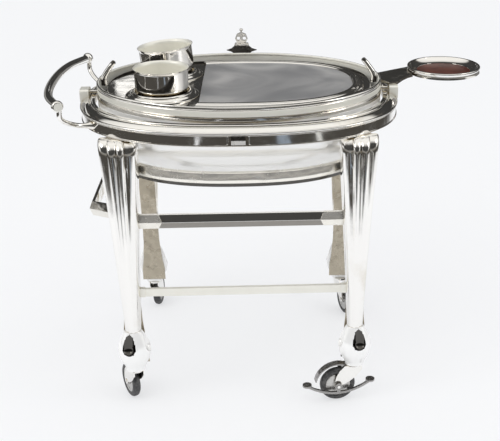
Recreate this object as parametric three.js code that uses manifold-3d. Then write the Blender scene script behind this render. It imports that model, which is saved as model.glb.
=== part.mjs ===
// A carving trolley. An oval frame on four reeded legs carries a tray with a carving plate and
// two cups. The domed cover turns on the tray's end pins and is shown open, under the tray.
// Millimetres, +Z up, the long way along X, the front towards -Y.
import * as THREE from 'three';
import { mergeVertices } from 'three/addons/utils/BufferGeometryUtils.js';
import Module from 'manifold-3d';

const wasm = await Module();
wasm.setup();

// ---- Fits ----
const SEAT_GAP = 0.3; // between pieces that touch
const RUNNING_GAP = 0.06; // radial play where a piece turns on another
const MERGE_DISTANCE = 0.001;

// ---- Plan of the top: ovals of one family, each a constant inset from the outer edge ----
const OVAL_EXPONENT = 2.4;
const FRAME_HALF_LENGTH = 433;
const FRAME_HALF_DEPTH = 329;
const OVAL_STEPS = 44;
const BIG_STEPS = 18; // faces round cups, collars and other wide turned pieces
const SMALL_STEPS = 12; // faces round narrow turned pieces

// ---- Casters ----
const WHEEL_RADIUS = 50;
const WHEEL_WIDTH = 22;
const AXLE_RADIUS = 4.5;
const WHEEL_HUB_RADIUS = 13;
const WHEEL_STEPS = 16;
const CASTER_TRAIL = 48;
const YOKE_PLATE = 5;
const YOKE_CHEEK = 3;
const YOKE_HEADROOM = 5;
const YOKE_SIDE_PLAY = 1.5;
const YOKE_HEAD_RADIUS = 24;
const YOKE_HEAD_OFFSET = 4;
const AXLE_BOSS_RADIUS = 11;
const STEM_RADIUS = 7;
const STEM_LENGTH = 26;

// ---- Feet and legs ----
const FOOT_HEIGHT = 121;
const FOOT_RADIUS = 45;
const FOOT_DEPTH_RATIO = 0.86;
const FOOT_STEPS = 14;
const SCOOP_RADIUS = 17;
const SCOOP_DEPTH = 9;
const SCOOP_DROP = 62;
const SCOOP_ANGLES = [-98, -49, 0];
const FOOT_PLATE_HALF_WIDTH = 32;
const LEG_HEIGHT = 541;
const LEG_ANKLE_X = 304;
const LEG_TOP_X = 308;
const LEG_ANKLE_Y = 274;
const LEG_TOP_Y = 258;
const LEG_ANKLE_WIDTH = 49;
const LEG_TOP_WIDTH = 116;
const LEG_FLARE = 1.15;
const LEG_ANKLE_REACH = 22;
const LEG_TOP_REACH = 32;
const LEG_ANKLE_BACK = 16;
const LEG_TOP_BACK = 24;
const REED_COUNT = 4;
const REED_SHARE = 0.74;
const REED_RISE = 0.16;
const REED_STEPS = 3;
const REED_CROWN = 26;
const LEG_PLATE_THICKNESS = 3;
const LEG_PLATE_MARGIN = 5;

// ---- Rails between the legs ----
const RAIL_HEIGHT = 40;
const RAIL_EDGE = 8;
const RAIL_RIDGE = 16;
const MID_BAR_Z = 545;
const MID_BAR_Y = 249;
const BOTTOM_BAR_Z = 341;
const BOTTOM_BAR_HEIGHT = 22;
const BOTTOM_BAR_DEPTH = 10;
const BOTTOM_BAR_Y = 262;
const BOTTOM_BAR_SEAT = 3.6;
const BOTTOM_BLOCK_LENGTH = 14;
const BOTTOM_BLOCK_MARGIN = 3;
const HOOP_Z = 674;
const HOOP_HALF_LENGTH = 340;
const HOOP_HALF_DEPTH = 288;
const HOOP_STEPS = 16;
const HOOP_BRACKET_X = 290;
const HOOP_BRACKET_Y = 196;
const HOOP_BRACKET_WIDTH = 20;
const END_RAIL_Z = 540;
const END_RAIL_X = 399;
const END_RAIL_HALF_LENGTH = 142;
const END_ARM_X = 348;
const END_ARM_Y = 166;

// ---- Skirt and moulding ----
const SKIRT_HEIGHT = 30;
const SKIRT_INSET = 1;
const SKIRT_WALL_INSET = 5;
const SKIRT_INNER_INSET = 11;
const SKIRT_BEAD = 4;
const FLANGE_INSET = 38;
const FLANGE_THICKNESS = 4;
const PANEL_RISE = 2.2;
const PANEL_CORNER = 9;
const PANEL_HALF_GAP = 25;
const LATCH_HALF_WIDTH = 18;
const SLOT_HALF_WIDTH = 13;
const SLOT_HEIGHT = 6;
const SLOT_DEPTH = 2;
const MOULDING_HEIGHT = 18;
const MOULDING_INNER_INSET = 40;

// ---- Pivots ----
const PIVOT_RISE = 6; // of the pin's centre above the moulding
const PIN_RADIUS = 4.5;
const PIN_STEPS = 12;
const BLOCK_LENGTH = 24;
const BLOCK_HALF_WIDTH = 22;
const BLOCK_OVERHANG = 3;
const BLOCK_RISE = 10;
const BLOCK_CORNER = 8;

// ---- Dome ----
const DOME_INSET = 44;
const DOME_DEPTH = 264;
const DOME_WALL = 3;
const DOME_RIM_RISE = 34;
const DOME_BEAD = 7;
const DOME_FACET_SAG = 2;
const DOME_STEPS = 32;
const DOME_LEVELS = 7;
const DOME_BOSS_RADIUS = 13;
const DOME_BOSS_LENGTH = 6;
const HANDLE_ARM_THICKNESS = 9;
const HANDLE_ARM_HALF_WIDTH = 24;
const HANDLE_REACH = 16;
const HANDLE_PLATE = 8;
const HANDLE_NECK_HALF_WIDTH = 20;
const HANDLE_FLARE_HALF_WIDTH = 46;
const HANDLE_FLARE_RISE = 28;
const HANDLE_FLARE_BEND = 5;
const HANDLE_SHOULDER_RISE = 50;
const LOOP_RADIUS = 19;
const LOOP_RISE = 64;
const LOOP_HOLE_RADIUS = 6;
const LOOP_HOLE_SPREAD = 9;
const KNOB_RADIUS = 6;

// ---- Tray ----
const DECK_INSET = 74;
const DECK_RISE = 18;
const DECK_THICKNESS = 4;
const LUG_LENGTH = 34;
const LUG_HALF_WIDTH = 15;
const LUG_PLAY = 2;
const PAN_INSET = 106;
const PAN_DEPTH = 56;
const PAN_WALL = 3;
const PLATE_EDGE_X = -102;
const PLATE_THICKNESS = 4;
const SURROUND_OUTER_INSET = 92;
const SURROUND_INNER_INSET = 124;
const SURROUND_RISE = 7;
const WELL_X = -203;
const WELL_Y = 103;
const COLLAR_RADIUS = 97;
const COLLAR_RISE = 13;
const WELL_PLAY = 2;
const CUP_HEIGHT = 74;
const CUP_LIP_RADIUS = 74;
const CUP_BODY_RADIUS = 66;
const CUP_BASE_RADIUS = 58;
const CUP_WALL = 2.5;
const CUP_BASE_ROUND = 6;
const CUP_LEAN = 5;
const CUP_REAR_SCALE = 1.05;
const HORN_BASE_RADIUS = 8.6;
const HORN_TIP_RADIUS = 6.2;
const HORN_HEIGHT = 66;
const HORN_LEAN = 32;

// ---- Push handle ----
const GRIP_Z = 859;
const GRIP_END_X = -448;
const GRIP_BOW = 58;
const GRIP_FULLNESS = 2.7;
const GRIP_HALF_LENGTH = 254;
const GRIP_RADIUS = 11.5;
const GRIP_RING_RADIUS = 15.5;
const ARM_RADIUS = 6.5;
const ARM_FOOT_RADIUS = 10;
const ARM_FOOT_ANGLE = 150;

// ---- Plate holder ----
const HOLDER_X = 586;
const HOLDER_Y = 126;
const HOLDER_RADIUS = 105;
const HOLDER_HEIGHT = 19;
const HOLDER_WALL = 8;
const HOLDER_LEDGE = 4;
const HOLDER_BASE_THICKNESS = 2;
const HOLDER_STEPS = 24;
const HOLDER_ARM_ROOT_WIDTH = 96;
const HOLDER_ARM_END_WIDTH = 112;
const HOLDER_ARM_THICKNESS = 7;
const HOLDER_ARM_PLAY = 3;

// ---- Brake ----
const GUARD_GAP = 13;
const GUARD_THICKNESS = 3;
const GUARD_START = 78;
const GUARD_END = 168;
const GUARD_TAB = 10;
const PEDAL_HALF_SPAN = 90;
const PEDAL_SAG = 30;
const PEDAL_DROP = 20;
const PEDAL_BAR = 7;
const PEDAL_PAD_RADIUS = 13;
const PEDAL_PAD_THICKNESS = 5;

// ---- Heights that follow ----
const YOKE_TOP_Z = 2 * WHEEL_RADIUS + YOKE_HEADROOM + YOKE_PLATE;
const FOOT_BOTTOM_Z = YOKE_TOP_Z + SEAT_GAP;
const LEG_BOTTOM_Z = FOOT_BOTTOM_Z + FOOT_HEIGHT + SEAT_GAP;
const LEG_TOP_Z = LEG_BOTTOM_Z + LEG_HEIGHT;
const SKIRT_BOTTOM_Z = LEG_TOP_Z + SEAT_GAP;
const SKIRT_TOP_Z = SKIRT_BOTTOM_Z + SKIRT_HEIGHT;
const MOULDING_BOTTOM_Z = SKIRT_TOP_Z + SEAT_GAP;
const MOULDING_TOP_Z = MOULDING_BOTTOM_Z + MOULDING_HEIGHT;
const PIVOT_Z = MOULDING_TOP_Z + PIVOT_RISE;
const DECK_TOP_Z = PIVOT_Z + DECK_RISE;
const DECK_SEAT_Z = DECK_TOP_Z + SEAT_GAP;

// The heading is where a caster trails to, from +X.
const SIDES = [
  { name: 'front_left', x: -1, y: -1, heading: 118 },
  { name: 'front_right', x: 1, y: -1, heading: 188 },
  { name: 'rear_left', x: -1, y: 1, heading: 84 },
  { name: 'rear_right', x: 1, y: 1, heading: -72 },
];

const radians = THREE.MathUtils.degToRad;
const mix = THREE.MathUtils.lerp;
const trolley = new THREE.Group();

// ---- Shape helpers ----

// Merges the vertices and turns every triangle outwards.
function closed(geometry) {
  geometry.deleteAttribute('normal');
  geometry.deleteAttribute('uv');
  const merged = mergeVertices(geometry, MERGE_DISTANCE);
  const points = merged.attributes.position;
  const kept = [];
  let volume = 0;
  const [a, b, c] = [new THREE.Vector3(), new THREE.Vector3(), new THREE.Vector3()];
  for (let i = 0; i < merged.index.count; i += 3) {
    const corners = [0, 1, 2].map((k) => merged.index.getX(i + k));
    if (new Set(corners).size === 3) {
      a.fromBufferAttribute(points, corners[0]);
      b.fromBufferAttribute(points, corners[1]);
      c.fromBufferAttribute(points, corners[2]);
      volume += a.dot(b.cross(c));
      kept.push(corners);
    }
  }
  const facingOut = volume > 0 ? kept : kept.map(([p, q, r]) => [p, r, q]);
  merged.setIndex(facingOut.flat());
  merged.computeVertexNormals();
  return merged;
}

function solidOf(geometry) {
  const clean = closed(geometry);
  const mesh = new wasm.Mesh({
    numProp: 3,
    vertProperties: Float32Array.from(clean.attributes.position.array),
    triVerts: Uint32Array.from(clean.index.array),
  });
  return new wasm.Manifold(mesh);
}

function geometryOf(solid) {
  const mesh = solid.getMesh();
  const geometry = new THREE.BufferGeometry();
  geometry.setAttribute('position', new THREE.BufferAttribute(Float32Array.from(mesh.vertProperties), 3));
  geometry.setIndex(Array.from(mesh.triVerts));
  return closed(geometry);
}

function joined(...geometries) {
  return geometryOf(geometries.map(solidOf).reduce((whole, piece) => whole.add(piece)));
}

function cut(geometry, ...tools) {
  return geometryOf(tools.map(solidOf).reduce((whole, tool) => whole.subtract(tool), solidOf(geometry)));
}

// A closed body through a row of outlines that have the same number of points.
function loft(outlines) {
  const rows = outlines.length - 1;
  const columns = outlines[0].length;
  const geometry = new THREE.CylinderGeometry(1, 1, 1, columns, rows);
  const points = geometry.attributes.position;
  for (let i = 0; i < points.count; i += 1) {
    const outline = outlines[Math.round((points.getY(i) + 0.5) * rows)];
    const turn = Math.atan2(points.getX(i), points.getZ(i)) / (2 * Math.PI);
    const column = Math.round((turn + 1) * columns) % columns;
    const onRim = Math.hypot(points.getX(i), points.getZ(i)) > 0.5;
    const middle = outline.reduce((sum, p) => sum.add(p), new THREE.Vector3()).divideScalar(columns);
    const point = onRim ? outline[column] : middle;
    points.setXYZ(i, point.x, point.y, point.z);
  }
  return closed(geometry);
}

// A round bar along a curve, its radius given by where it is on the curve, from 0 to 1.
function taperedBar(curve, radiusAt, stations, around) {
  const frames = curve.computeFrenetFrames(stations);
  const outlines = [];
  for (let i = 0; i <= stations; i += 1) {
    const centre = curve.getPointAt(i / stations);
    const radius = radiusAt(i / stations);
    const outline = [];
    for (let k = 0; k < around; k += 1) {
      const angle = (2 * Math.PI * k) / around;
      const offset = frames.normals[i].clone().multiplyScalar(radius * Math.cos(angle));
      offset.addScaledVector(frames.binormals[i], radius * Math.sin(angle));
      outline.push(offset.add(centre));
    }
    outlines.push(outline);
  }
  return loft(outlines);
}

// A revolved body: profile points are [radius, height].
function revolved(profile, steps) {
  const geometry = new THREE.LatheGeometry(profile.map(([r, z]) => new THREE.Vector2(r, z)), steps);
  return closed(geometry.rotateX(Math.PI / 2));
}

function signedPower(value, power) {
  return Math.sign(value) * Math.abs(value) ** power;
}

function onOval(halfLength, halfDepth, angle, z) {
  const power = 2 / OVAL_EXPONENT;
  const x = halfLength * signedPower(Math.cos(angle), power);
  const y = halfDepth * signedPower(Math.sin(angle), power);
  return new THREE.Vector3(x, y, z);
}

// A point on the frame's faceted ovals, so that pieces on one oval lie flat on each other.
function onFrame(inset, angle, z) {
  const step = (2 * Math.PI) / OVAL_STEPS;
  const facet = Math.floor(angle / step);
  const [halfLength, halfDepth] = [FRAME_HALF_LENGTH - inset, FRAME_HALF_DEPTH - inset];
  const start = onOval(halfLength, halfDepth, facet * step, z);
  return start.lerp(onOval(halfLength, halfDepth, (facet + 1) * step, z), angle / step - facet);
}

// The angles of the facets' corners between two angles, with the given ones at each end.
function frameAngles(ends) {
  const step = (2 * Math.PI) / OVAL_STEPS;
  const last = ends[ends.length - 1];
  const angles = ends.map((angle) => -angle);
  for (let k = Math.ceil(-last / step); k * step < last; k += 1) {
    if (k * step + last > MERGE_DISTANCE && last - k * step > MERGE_DISTANCE) angles.push(k * step);
  }
  return [...angles, ...ends.toReversed()];
}

// The angle, from the +X end, at which an oval is at a distance x along it.
function frameAngleAt(inset, x) {
  const angle = Math.acos((Math.abs(x) / (FRAME_HALF_LENGTH - inset)) ** (OVAL_EXPONENT / 2));
  return x < 0 ? Math.PI - angle : angle;
}

// An oval ring: profile points are [inset, height], and the profile closes on itself.
function ovalRing(profile) {
  const around = [...profile, profile[0]];
  const outline = around.map(([inset, z]) => new THREE.Vector2(FRAME_HALF_LENGTH - inset, z));
  const geometry = new THREE.LatheGeometry(outline, OVAL_STEPS);
  const points = geometry.attributes.position;
  for (let i = 0; i < points.count; i += 1) {
    const inset = FRAME_HALF_LENGTH - Math.hypot(points.getX(i), points.getZ(i));
    const angle = Math.atan2(points.getX(i), points.getZ(i));
    const point = onFrame(inset, angle, points.getY(i));
    points.setXYZ(i, point.x, point.y, point.z);
  }
  return closed(geometry);
}

// An oval plate between two heights.
function ovalPlate(inset, bottom, top) {
  const outline = new THREE.Shape();
  for (let i = 0; i < OVAL_STEPS; i += 1) {
    const point = onFrame(inset, (2 * Math.PI * i) / OVAL_STEPS, 0);
    if (i === 0) outline.moveTo(point.x, point.y);
    else outline.lineTo(point.x, point.y);
  }
  return extruded(outline, top - bottom).translate(0, 0, bottom);
}

function extruded(shape, depth) {
  return new THREE.ExtrudeGeometry(shape, { depth, bevelEnabled: false, curveSegments: 3 });
}

function block(width, depth, height, x, y, z) {
  return new THREE.BoxGeometry(width, depth, height).translate(x, y, z);
}

// The radius of a faceted bore whose flats clear a round pin by the gap.
function boreRadius(pinRadius, gap, steps) {
  return (pinRadius + gap) / Math.cos(Math.PI / steps);
}

// A cylinder that lies along X, Y or Z.
function rod(axis, radius, length, steps, centre) {
  const geometry = new THREE.CylinderGeometry(radius, radius, length, steps);
  if (axis === 'x') geometry.rotateZ(Math.PI / 2);
  if (axis === 'z') geometry.rotateX(Math.PI / 2);
  return geometry.translate(centre.x, centre.y, centre.z);
}

function arcPoints(centreInset, centreZ, radius, from, to, steps) {
  const points = [];
  for (let i = 0; i <= steps; i += 1) {
    const angle = radians(mix(from, to, i / steps));
    points.push([centreInset + radius * Math.cos(angle), centreZ + radius * Math.sin(angle)]);
  }
  return points;
}

// ---- Materials ----

function polished(color) {
  return new THREE.MeshStandardMaterial({ color, roughness: 0.08, metalness: 1 });
}

function brushed(color) {
  return new THREE.MeshStandardMaterial({ color, roughness: 0.35, metalness: 1 });
}

function plain(color, roughness) {
  return new THREE.MeshStandardMaterial({ color, roughness, metalness: 0 });
}

const SILVER = 0xe6e3dc;
const TARNISHED = 0xb5aa95;
const STEEL = 0x8d8a86;
const RUBBER = 0x3c3b3c;
const LEATHER = 0x4a201c;

function addPiece(name, geometry, material, x = 0, y = 0, z = 0) {
  const piece = new THREE.Mesh(closed(geometry), material);
  piece.name = name;
  piece.position.set(x, y, z);
  trolley.add(piece);
  return piece;
}

// ---- Frame: moulding, skirt, panels, latch plate ----

function mouldingProfile() {
  const bead = 3.2;
  const innerBead = 3.4;
  const coveStart = 6;
  const coveEnd = 21;
  const coveSteps = 2;
  const outer = arcPoints(bead, bead, bead, 270, 90, 3);
  const cove = [];
  for (let i = 0; i <= coveSteps; i += 1) {
    const share = i / coveSteps;
    const height = mix(2 * bead, 2.5 * bead, share) - bead * Math.sin(Math.PI * share);
    cove.push([mix(coveStart, coveEnd, share), height]);
  }
  const second = arcPoints(coveEnd + innerBead, MOULDING_HEIGHT - 2 * innerBead, innerBead, 170, 50, 2);
  const lip = [
    [MOULDING_INNER_INSET - 4, MOULDING_HEIGHT],
    [MOULDING_INNER_INSET, MOULDING_HEIGHT],
    [MOULDING_INNER_INSET, 0],
  ];
  return [...outer, ...cove, ...second, ...lip].map(([inset, z]) => [inset, MOULDING_BOTTOM_Z + z]);
}

function blockNotch(side) {
  const outerX = FRAME_HALF_LENGTH + BLOCK_OVERHANG + SEAT_GAP;
  const innerX = FRAME_HALF_LENGTH + BLOCK_OVERHANG - BLOCK_LENGTH - SEAT_GAP;
  const width = 2 * (BLOCK_HALF_WIDTH + SEAT_GAP);
  const height = 2 * MOULDING_HEIGHT;
  return block(outerX - innerX, width, height, (side * (outerX + innerX)) / 2, 0, MOULDING_BOTTOM_Z);
}

function topMoulding() {
  return cut(ovalRing(mouldingProfile()), blockNotch(-1), blockNotch(1));
}

function skirtBand() {
  const bead = SKIRT_BEAD / 2;
  const profile = [
    [SKIRT_INNER_INSET, 0],
    [SKIRT_INSET + 1, 0],
    [SKIRT_INSET, bead],
    [SKIRT_WALL_INSET, SKIRT_BEAD],
    [SKIRT_WALL_INSET, SKIRT_HEIGHT - SKIRT_BEAD],
    [SKIRT_INSET, SKIRT_HEIGHT - bead],
    [SKIRT_INSET + 1, SKIRT_HEIGHT],
    [FLANGE_INSET, SKIRT_HEIGHT],
    [FLANGE_INSET, SKIRT_HEIGHT - FLANGE_THICKNESS],
    [SKIRT_INNER_INSET, SKIRT_HEIGHT - FLANGE_THICKNESS],
  ];
  return ovalRing(profile.map(([inset, z]) => [inset, SKIRT_BOTTOM_Z + z]));
}

// Half of the oval, with rounded lower corners beside the front and the back centre.
function skirtPanel(side) {
  const bottom = SKIRT_BOTTOM_Z + SKIRT_BEAD + SEAT_GAP;
  const top = SKIRT_TOP_Z - SKIRT_BEAD - SEAT_GAP;
  const inner = SKIRT_WALL_INSET - SEAT_GAP;
  const outer = inner - PANEL_RISE;
  const cornerShares = [0, 0.06, 0.25, 0.6, 1];
  const ends = cornerShares.map((share) => frameAngleAt(inner, PANEL_HALF_GAP + share * PANEL_CORNER));
  const outlines = [];
  for (const angle of frameAngles(ends)) {
    const fromEnd = onFrame(inner, angle, 0).x - PANEL_HALF_GAP;
    const short = Math.max(0, PANEL_CORNER - fromEnd);
    const lift = PANEL_CORNER - Math.sqrt(Math.max(0, PANEL_CORNER ** 2 - short ** 2));
    const facing = side > 0 ? angle : Math.PI - angle;
    outlines.push([
      onFrame(inner, facing, bottom + lift),
      onFrame(outer, facing, bottom + lift),
      onFrame(outer, facing, top),
      onFrame(inner, facing, top),
    ]);
  }
  return loft(outlines);
}

function latchPlate() {
  const bottom = SKIRT_BOTTOM_Z + SKIRT_BEAD + SEAT_GAP;
  const top = SKIRT_TOP_Z - SKIRT_BEAD - SEAT_GAP;
  const back = FRAME_HALF_DEPTH - SKIRT_WALL_INSET + SEAT_GAP;
  const centreY = -(back + PANEL_RISE / 2);
  const plate = block(2 * LATCH_HALF_WIDTH, PANEL_RISE, top - bottom, 0, centreY, (top + bottom) / 2);
  const slotZ = top - SLOT_HEIGHT;
  const slotY = -(back + PANEL_RISE);
  const slot = block(2 * SLOT_HALF_WIDTH, SLOT_DEPTH, SLOT_HEIGHT, 0, slotY, slotZ);
  return cut(plate, slot);
}

// ---- Pivots ----

function pivotBlock(side) {
  const bottom = SKIRT_TOP_Z + SEAT_GAP;
  const top = PIVOT_Z + BLOCK_RISE;
  const outline = new THREE.Shape();
  outline.moveTo(-BLOCK_HALF_WIDTH, bottom);
  outline.lineTo(BLOCK_HALF_WIDTH, bottom);
  outline.lineTo(BLOCK_HALF_WIDTH, top - BLOCK_CORNER);
  outline.absarc(BLOCK_HALF_WIDTH - BLOCK_CORNER, top - BLOCK_CORNER, BLOCK_CORNER, 0, Math.PI / 2);
  outline.lineTo(BLOCK_CORNER - BLOCK_HALF_WIDTH, top);
  outline.absarc(BLOCK_CORNER - BLOCK_HALF_WIDTH, top - BLOCK_CORNER, BLOCK_CORNER, Math.PI / 2, Math.PI);
  const outerX = FRAME_HALF_LENGTH + BLOCK_OVERHANG;
  const standing = extruded(outline, BLOCK_LENGTH).rotateX(Math.PI / 2).rotateZ(Math.PI / 2);
  standing.translate(side > 0 ? outerX - BLOCK_LENGTH : -outerX, 0, 0);
  const centre = new THREE.Vector3(side * outerX, 0, PIVOT_Z);
  const bore = boreRadius(PIN_RADIUS, SEAT_GAP, PIN_STEPS);
  return cut(standing, rod('x', bore, 4 * BLOCK_LENGTH, PIN_STEPS, centre));
}

function lugInnerX() {
  return lugOuterX() - LUG_LENGTH;
}

function lugOuterX() {
  return FRAME_HALF_LENGTH - DOME_INSET - DOME_WALL - DOME_BOSS_LENGTH - LUG_PLAY;
}

function pivotPin(side) {
  const innerX = lugInnerX() + LUG_PLAY;
  const outerX = FRAME_HALF_LENGTH + BLOCK_OVERHANG;
  const centre = new THREE.Vector3((side * (innerX + outerX)) / 2, 0, PIVOT_Z);
  return rod('x', PIN_RADIUS, outerX - innerX, PIN_STEPS, centre);
}

// ---- Dome ----

// The dome is a round bowl in plan angle and depth, stretched to the egg that clears the frame
// when it turns about the pins: oval along X, and a flattened circle across.
function eggReach(angle, depthShare) {
  let near = 0;
  let far = 1;
  for (let i = 0; i < 40; i += 1) {
    const reach = (near + far) / 2;
    const room = (1 - (reach * Math.abs(Math.cos(angle))) ** OVAL_EXPONENT) ** (1 / OVAL_EXPONENT);
    const inside = (reach * Math.sin(angle)) ** 2 + depthShare ** 2 < room ** 2;
    if (inside) near = reach;
    else far = reach;
  }
  return near;
}

function onEgg(shrink, angle, depthShare) {
  const reach = eggReach(angle, depthShare);
  const x = (FRAME_HALF_LENGTH - DOME_INSET - shrink) * reach * Math.cos(angle);
  const y = (FRAME_HALF_DEPTH - DOME_INSET - shrink) * reach * Math.sin(angle);
  return new THREE.Vector3(x, y, PIVOT_Z - (DOME_DEPTH - shrink) * depthShare);
}

// A thin bowl with a bead round its rim: its rows run from the outer bottom over the rim to
// the inner bottom, each at a depth inside the egg and a rise above the pivot.
function domeBowl() {
  const rows = [];
  const addSkin = (shrink, rimRise, outwards) => {
    const depth = DOME_DEPTH - shrink;
    for (let i = 0; i <= DOME_LEVELS; i += 1) {
      const share = outwards ? i / DOME_LEVELS : 1 - i / DOME_LEVELS;
      rows.push([shrink, -depth * Math.cos(Math.acos(-rimRise / depth) * share)]);
    }
  };
  addSkin(0, DOME_RIM_RISE, true);
  rows.push([DOME_BEAD, DOME_RIM_RISE], [DOME_BEAD, DOME_RIM_RISE - DOME_BEAD]);
  addSkin(DOME_WALL, DOME_RIM_RISE - DOME_BEAD, false);
  const geometry = new THREE.LatheGeometry(rows.map((row, i) => new THREE.Vector2(1, i)), DOME_STEPS);
  const points = geometry.attributes.position;
  for (let i = 0; i < points.count; i += 1) {
    const [shrink, rise] = rows[Math.round(points.getY(i))];
    const angle = Math.atan2(points.getX(i), points.getZ(i));
    const point = onEgg(shrink, angle, -rise / (DOME_DEPTH - shrink));
    points.setXYZ(i, point.x, point.y, point.z);
  }
  return geometry;
}

function domeShell() {
  const bossX = FRAME_HALF_LENGTH - DOME_INSET - (DOME_WALL + DOME_BOSS_LENGTH) / 2;
  let shell = solidOf(domeBowl());
  for (const side of [-1, 1]) {
    const boss = new THREE.Vector3(side * (bossX - 1), 0, PIVOT_Z);
    const bore = boreRadius(PIN_RADIUS, RUNNING_GAP, PIN_STEPS);
    shell = shell.add(solidOf(rod('x', DOME_BOSS_RADIUS, DOME_BOSS_LENGTH + DOME_WALL - 2, PIN_STEPS, boss)));
    shell = shell.subtract(solidOf(rod('x', bore, 8 * DOME_BOSS_LENGTH, PIN_STEPS, boss)));
  }
  return geometryOf(shell);
}

function handlePlateY() {
  return FRAME_HALF_DEPTH + HANDLE_REACH - HANDLE_PLATE;
}

// The handle is an arm at the height of the pivot, which clears the moulding alike when the
// dome is open and when it is shut, and a flared plate that ends in a loop.
function domeHandle() {
  const startY = FRAME_HALF_DEPTH - DOME_INSET - DOME_FACET_SAG + SEAT_GAP;
  const neck = HANDLE_NECK_HALF_WIDTH;
  const flare = HANDLE_FLARE_HALF_WIDTH;
  const flareUnder = HANDLE_FLARE_RISE - HANDLE_FLARE_BEND;
  const flareOver = HANDLE_FLARE_RISE + HANDLE_FLARE_BEND;
  const endY = handlePlateY() + HANDLE_PLATE;
  const armWidth = 2 * HANDLE_ARM_HALF_WIDTH;
  const arm = block(armWidth, endY - startY, HANDLE_ARM_THICKNESS, 0, (startY + endY) / 2, PIVOT_Z);
  const outline = new THREE.Shape();
  outline.moveTo(-HANDLE_ARM_HALF_WIDTH, -HANDLE_ARM_THICKNESS / 2);
  outline.lineTo(HANDLE_ARM_HALF_WIDTH, -HANDLE_ARM_THICKNESS / 2);
  outline.lineTo(neck, HANDLE_ARM_THICKNESS);
  outline.quadraticCurveTo(neck, flareUnder, flare, HANDLE_FLARE_RISE);
  outline.quadraticCurveTo(neck, flareOver, neck, HANDLE_SHOULDER_RISE);
  const loopStart = Math.asin((HANDLE_SHOULDER_RISE - LOOP_RISE) / LOOP_RADIUS);
  outline.absarc(0, LOOP_RISE, LOOP_RADIUS, loopStart, Math.PI - loopStart);
  outline.lineTo(-neck, HANDLE_SHOULDER_RISE);
  outline.quadraticCurveTo(-neck, flareOver, -flare, HANDLE_FLARE_RISE);
  outline.quadraticCurveTo(-neck, flareUnder, -neck, HANDLE_ARM_THICKNESS);
  for (const side of [-1, 1]) {
    const hole = new THREE.Path();
    hole.absarc(side * LOOP_HOLE_SPREAD, LOOP_RISE, LOOP_HOLE_RADIUS, 0, 2 * Math.PI, true);
    outline.holes.push(hole);
  }
  const plate = extruded(outline, HANDLE_PLATE).rotateX(Math.PI / 2);
  plate.translate(0, handlePlateY() + HANDLE_PLATE, PIVOT_Z);
  return joined(arm, plate);
}

function domeKnob() {
  const z = PIVOT_Z + LOOP_RISE + LOOP_RADIUS + KNOB_RADIUS + SEAT_GAP;
  return new THREE.SphereGeometry(KNOB_RADIUS, 10, 7).translate(0, handlePlateY() + HANDLE_PLATE / 2, z);
}

// ---- Tray ----

function trayDeck() {
  let deck = solidOf(ovalPlate(DECK_INSET, DECK_TOP_Z - DECK_THICKNESS, DECK_TOP_Z));
  const lugBottom = PIVOT_Z - 2 * PIN_RADIUS;
  const lugHeight = DECK_TOP_Z - lugBottom;
  for (const side of [-1, 1]) {
    const x = (side * (lugInnerX() + lugOuterX())) / 2;
    const lug = block(LUG_LENGTH, 2 * LUG_HALF_WIDTH, lugHeight, x, 0, lugBottom + lugHeight / 2);
    deck = deck.add(solidOf(lug));
    const centre = new THREE.Vector3(x, 0, PIVOT_Z);
    const bore = boreRadius(PIN_RADIUS, SEAT_GAP, PIN_STEPS);
    deck = deck.subtract(solidOf(rod('x', bore, 2 * LUG_LENGTH, PIN_STEPS, centre)));
  }
  return geometryOf(deck);
}

function waterPan() {
  const top = DECK_TOP_Z - DECK_THICKNESS - SEAT_GAP;
  const bottom = top - PAN_DEPTH;
  const taper = 14;
  const shell = [[PAN_INSET, top], [PAN_INSET + taper, bottom]];
  const outlines = shell.map(([inset, z]) => ovalOutline(inset, z));
  const inside = shell.map(([inset, z], i) => ovalOutline(inset + PAN_WALL, z + (i === 0 ? 1 : PAN_WALL)));
  return cut(loft(outlines), loft(inside));
}

function ovalOutline(inset, z) {
  const outline = [];
  for (let i = 0; i < OVAL_STEPS; i += 1) outline.push(onFrame(inset, (2 * Math.PI * i) / OVAL_STEPS, z));
  return outline;
}

function carvingPlate() {
  const plate = ovalPlate(SURROUND_INNER_INSET + SEAT_GAP, DECK_SEAT_Z, DECK_SEAT_Z + PLATE_THICKNESS);
  const awayX = PLATE_EDGE_X - FRAME_HALF_LENGTH / 2;
  const away = block(FRAME_HALF_LENGTH, 2 * FRAME_HALF_DEPTH, 1e3, awayX, 0, DECK_SEAT_Z);
  return cut(plate, away);
}

// The stepped moulding that frames the carving plate at the front, the back and the right.
function plateSurround() {
  const start = SURROUND_OUTER_INSET;
  const end = SURROUND_INNER_INSET;
  const profile = [
    [start, 0],
    [start, 2],
    [mix(start, end, 0.3), 3.2],
    [mix(start, end, 0.36), 5],
    [mix(start, end, 0.66), SURROUND_RISE],
    [mix(start, end, 0.9), SURROUND_RISE],
    [end, PLATE_THICKNESS],
    [end, 0],
  ];
  const outlines = [];
  for (const angle of frameAngles([frameAngleAt(end, PLATE_EDGE_X)])) {
    outlines.push(profile.map(([inset, z]) => onFrame(inset, angle, DECK_SEAT_Z + z)));
  }
  return loft(outlines);
}

function collarInnerRadius() {
  return CUP_BODY_RADIUS * CUP_REAR_SCALE + WELL_PLAY;
}

function wellCollar() {
  const inner = collarInnerRadius();
  return revolved([
    [inner, 0],
    [COLLAR_RADIUS, 0],
    [COLLAR_RADIUS, 2],
    [mix(COLLAR_RADIUS, inner, 0.3), 4],
    [mix(COLLAR_RADIUS, inner, 0.34), 6.5],
    [mix(COLLAR_RADIUS, inner, 0.62), 8],
    [mix(COLLAR_RADIUS, inner, 0.66), COLLAR_RISE - 1],
    [mix(COLLAR_RADIUS, inner, 0.9), COLLAR_RISE],
    [inner, COLLAR_RISE - 2],
    [inner, 0],
  ], BIG_STEPS);
}

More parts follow.
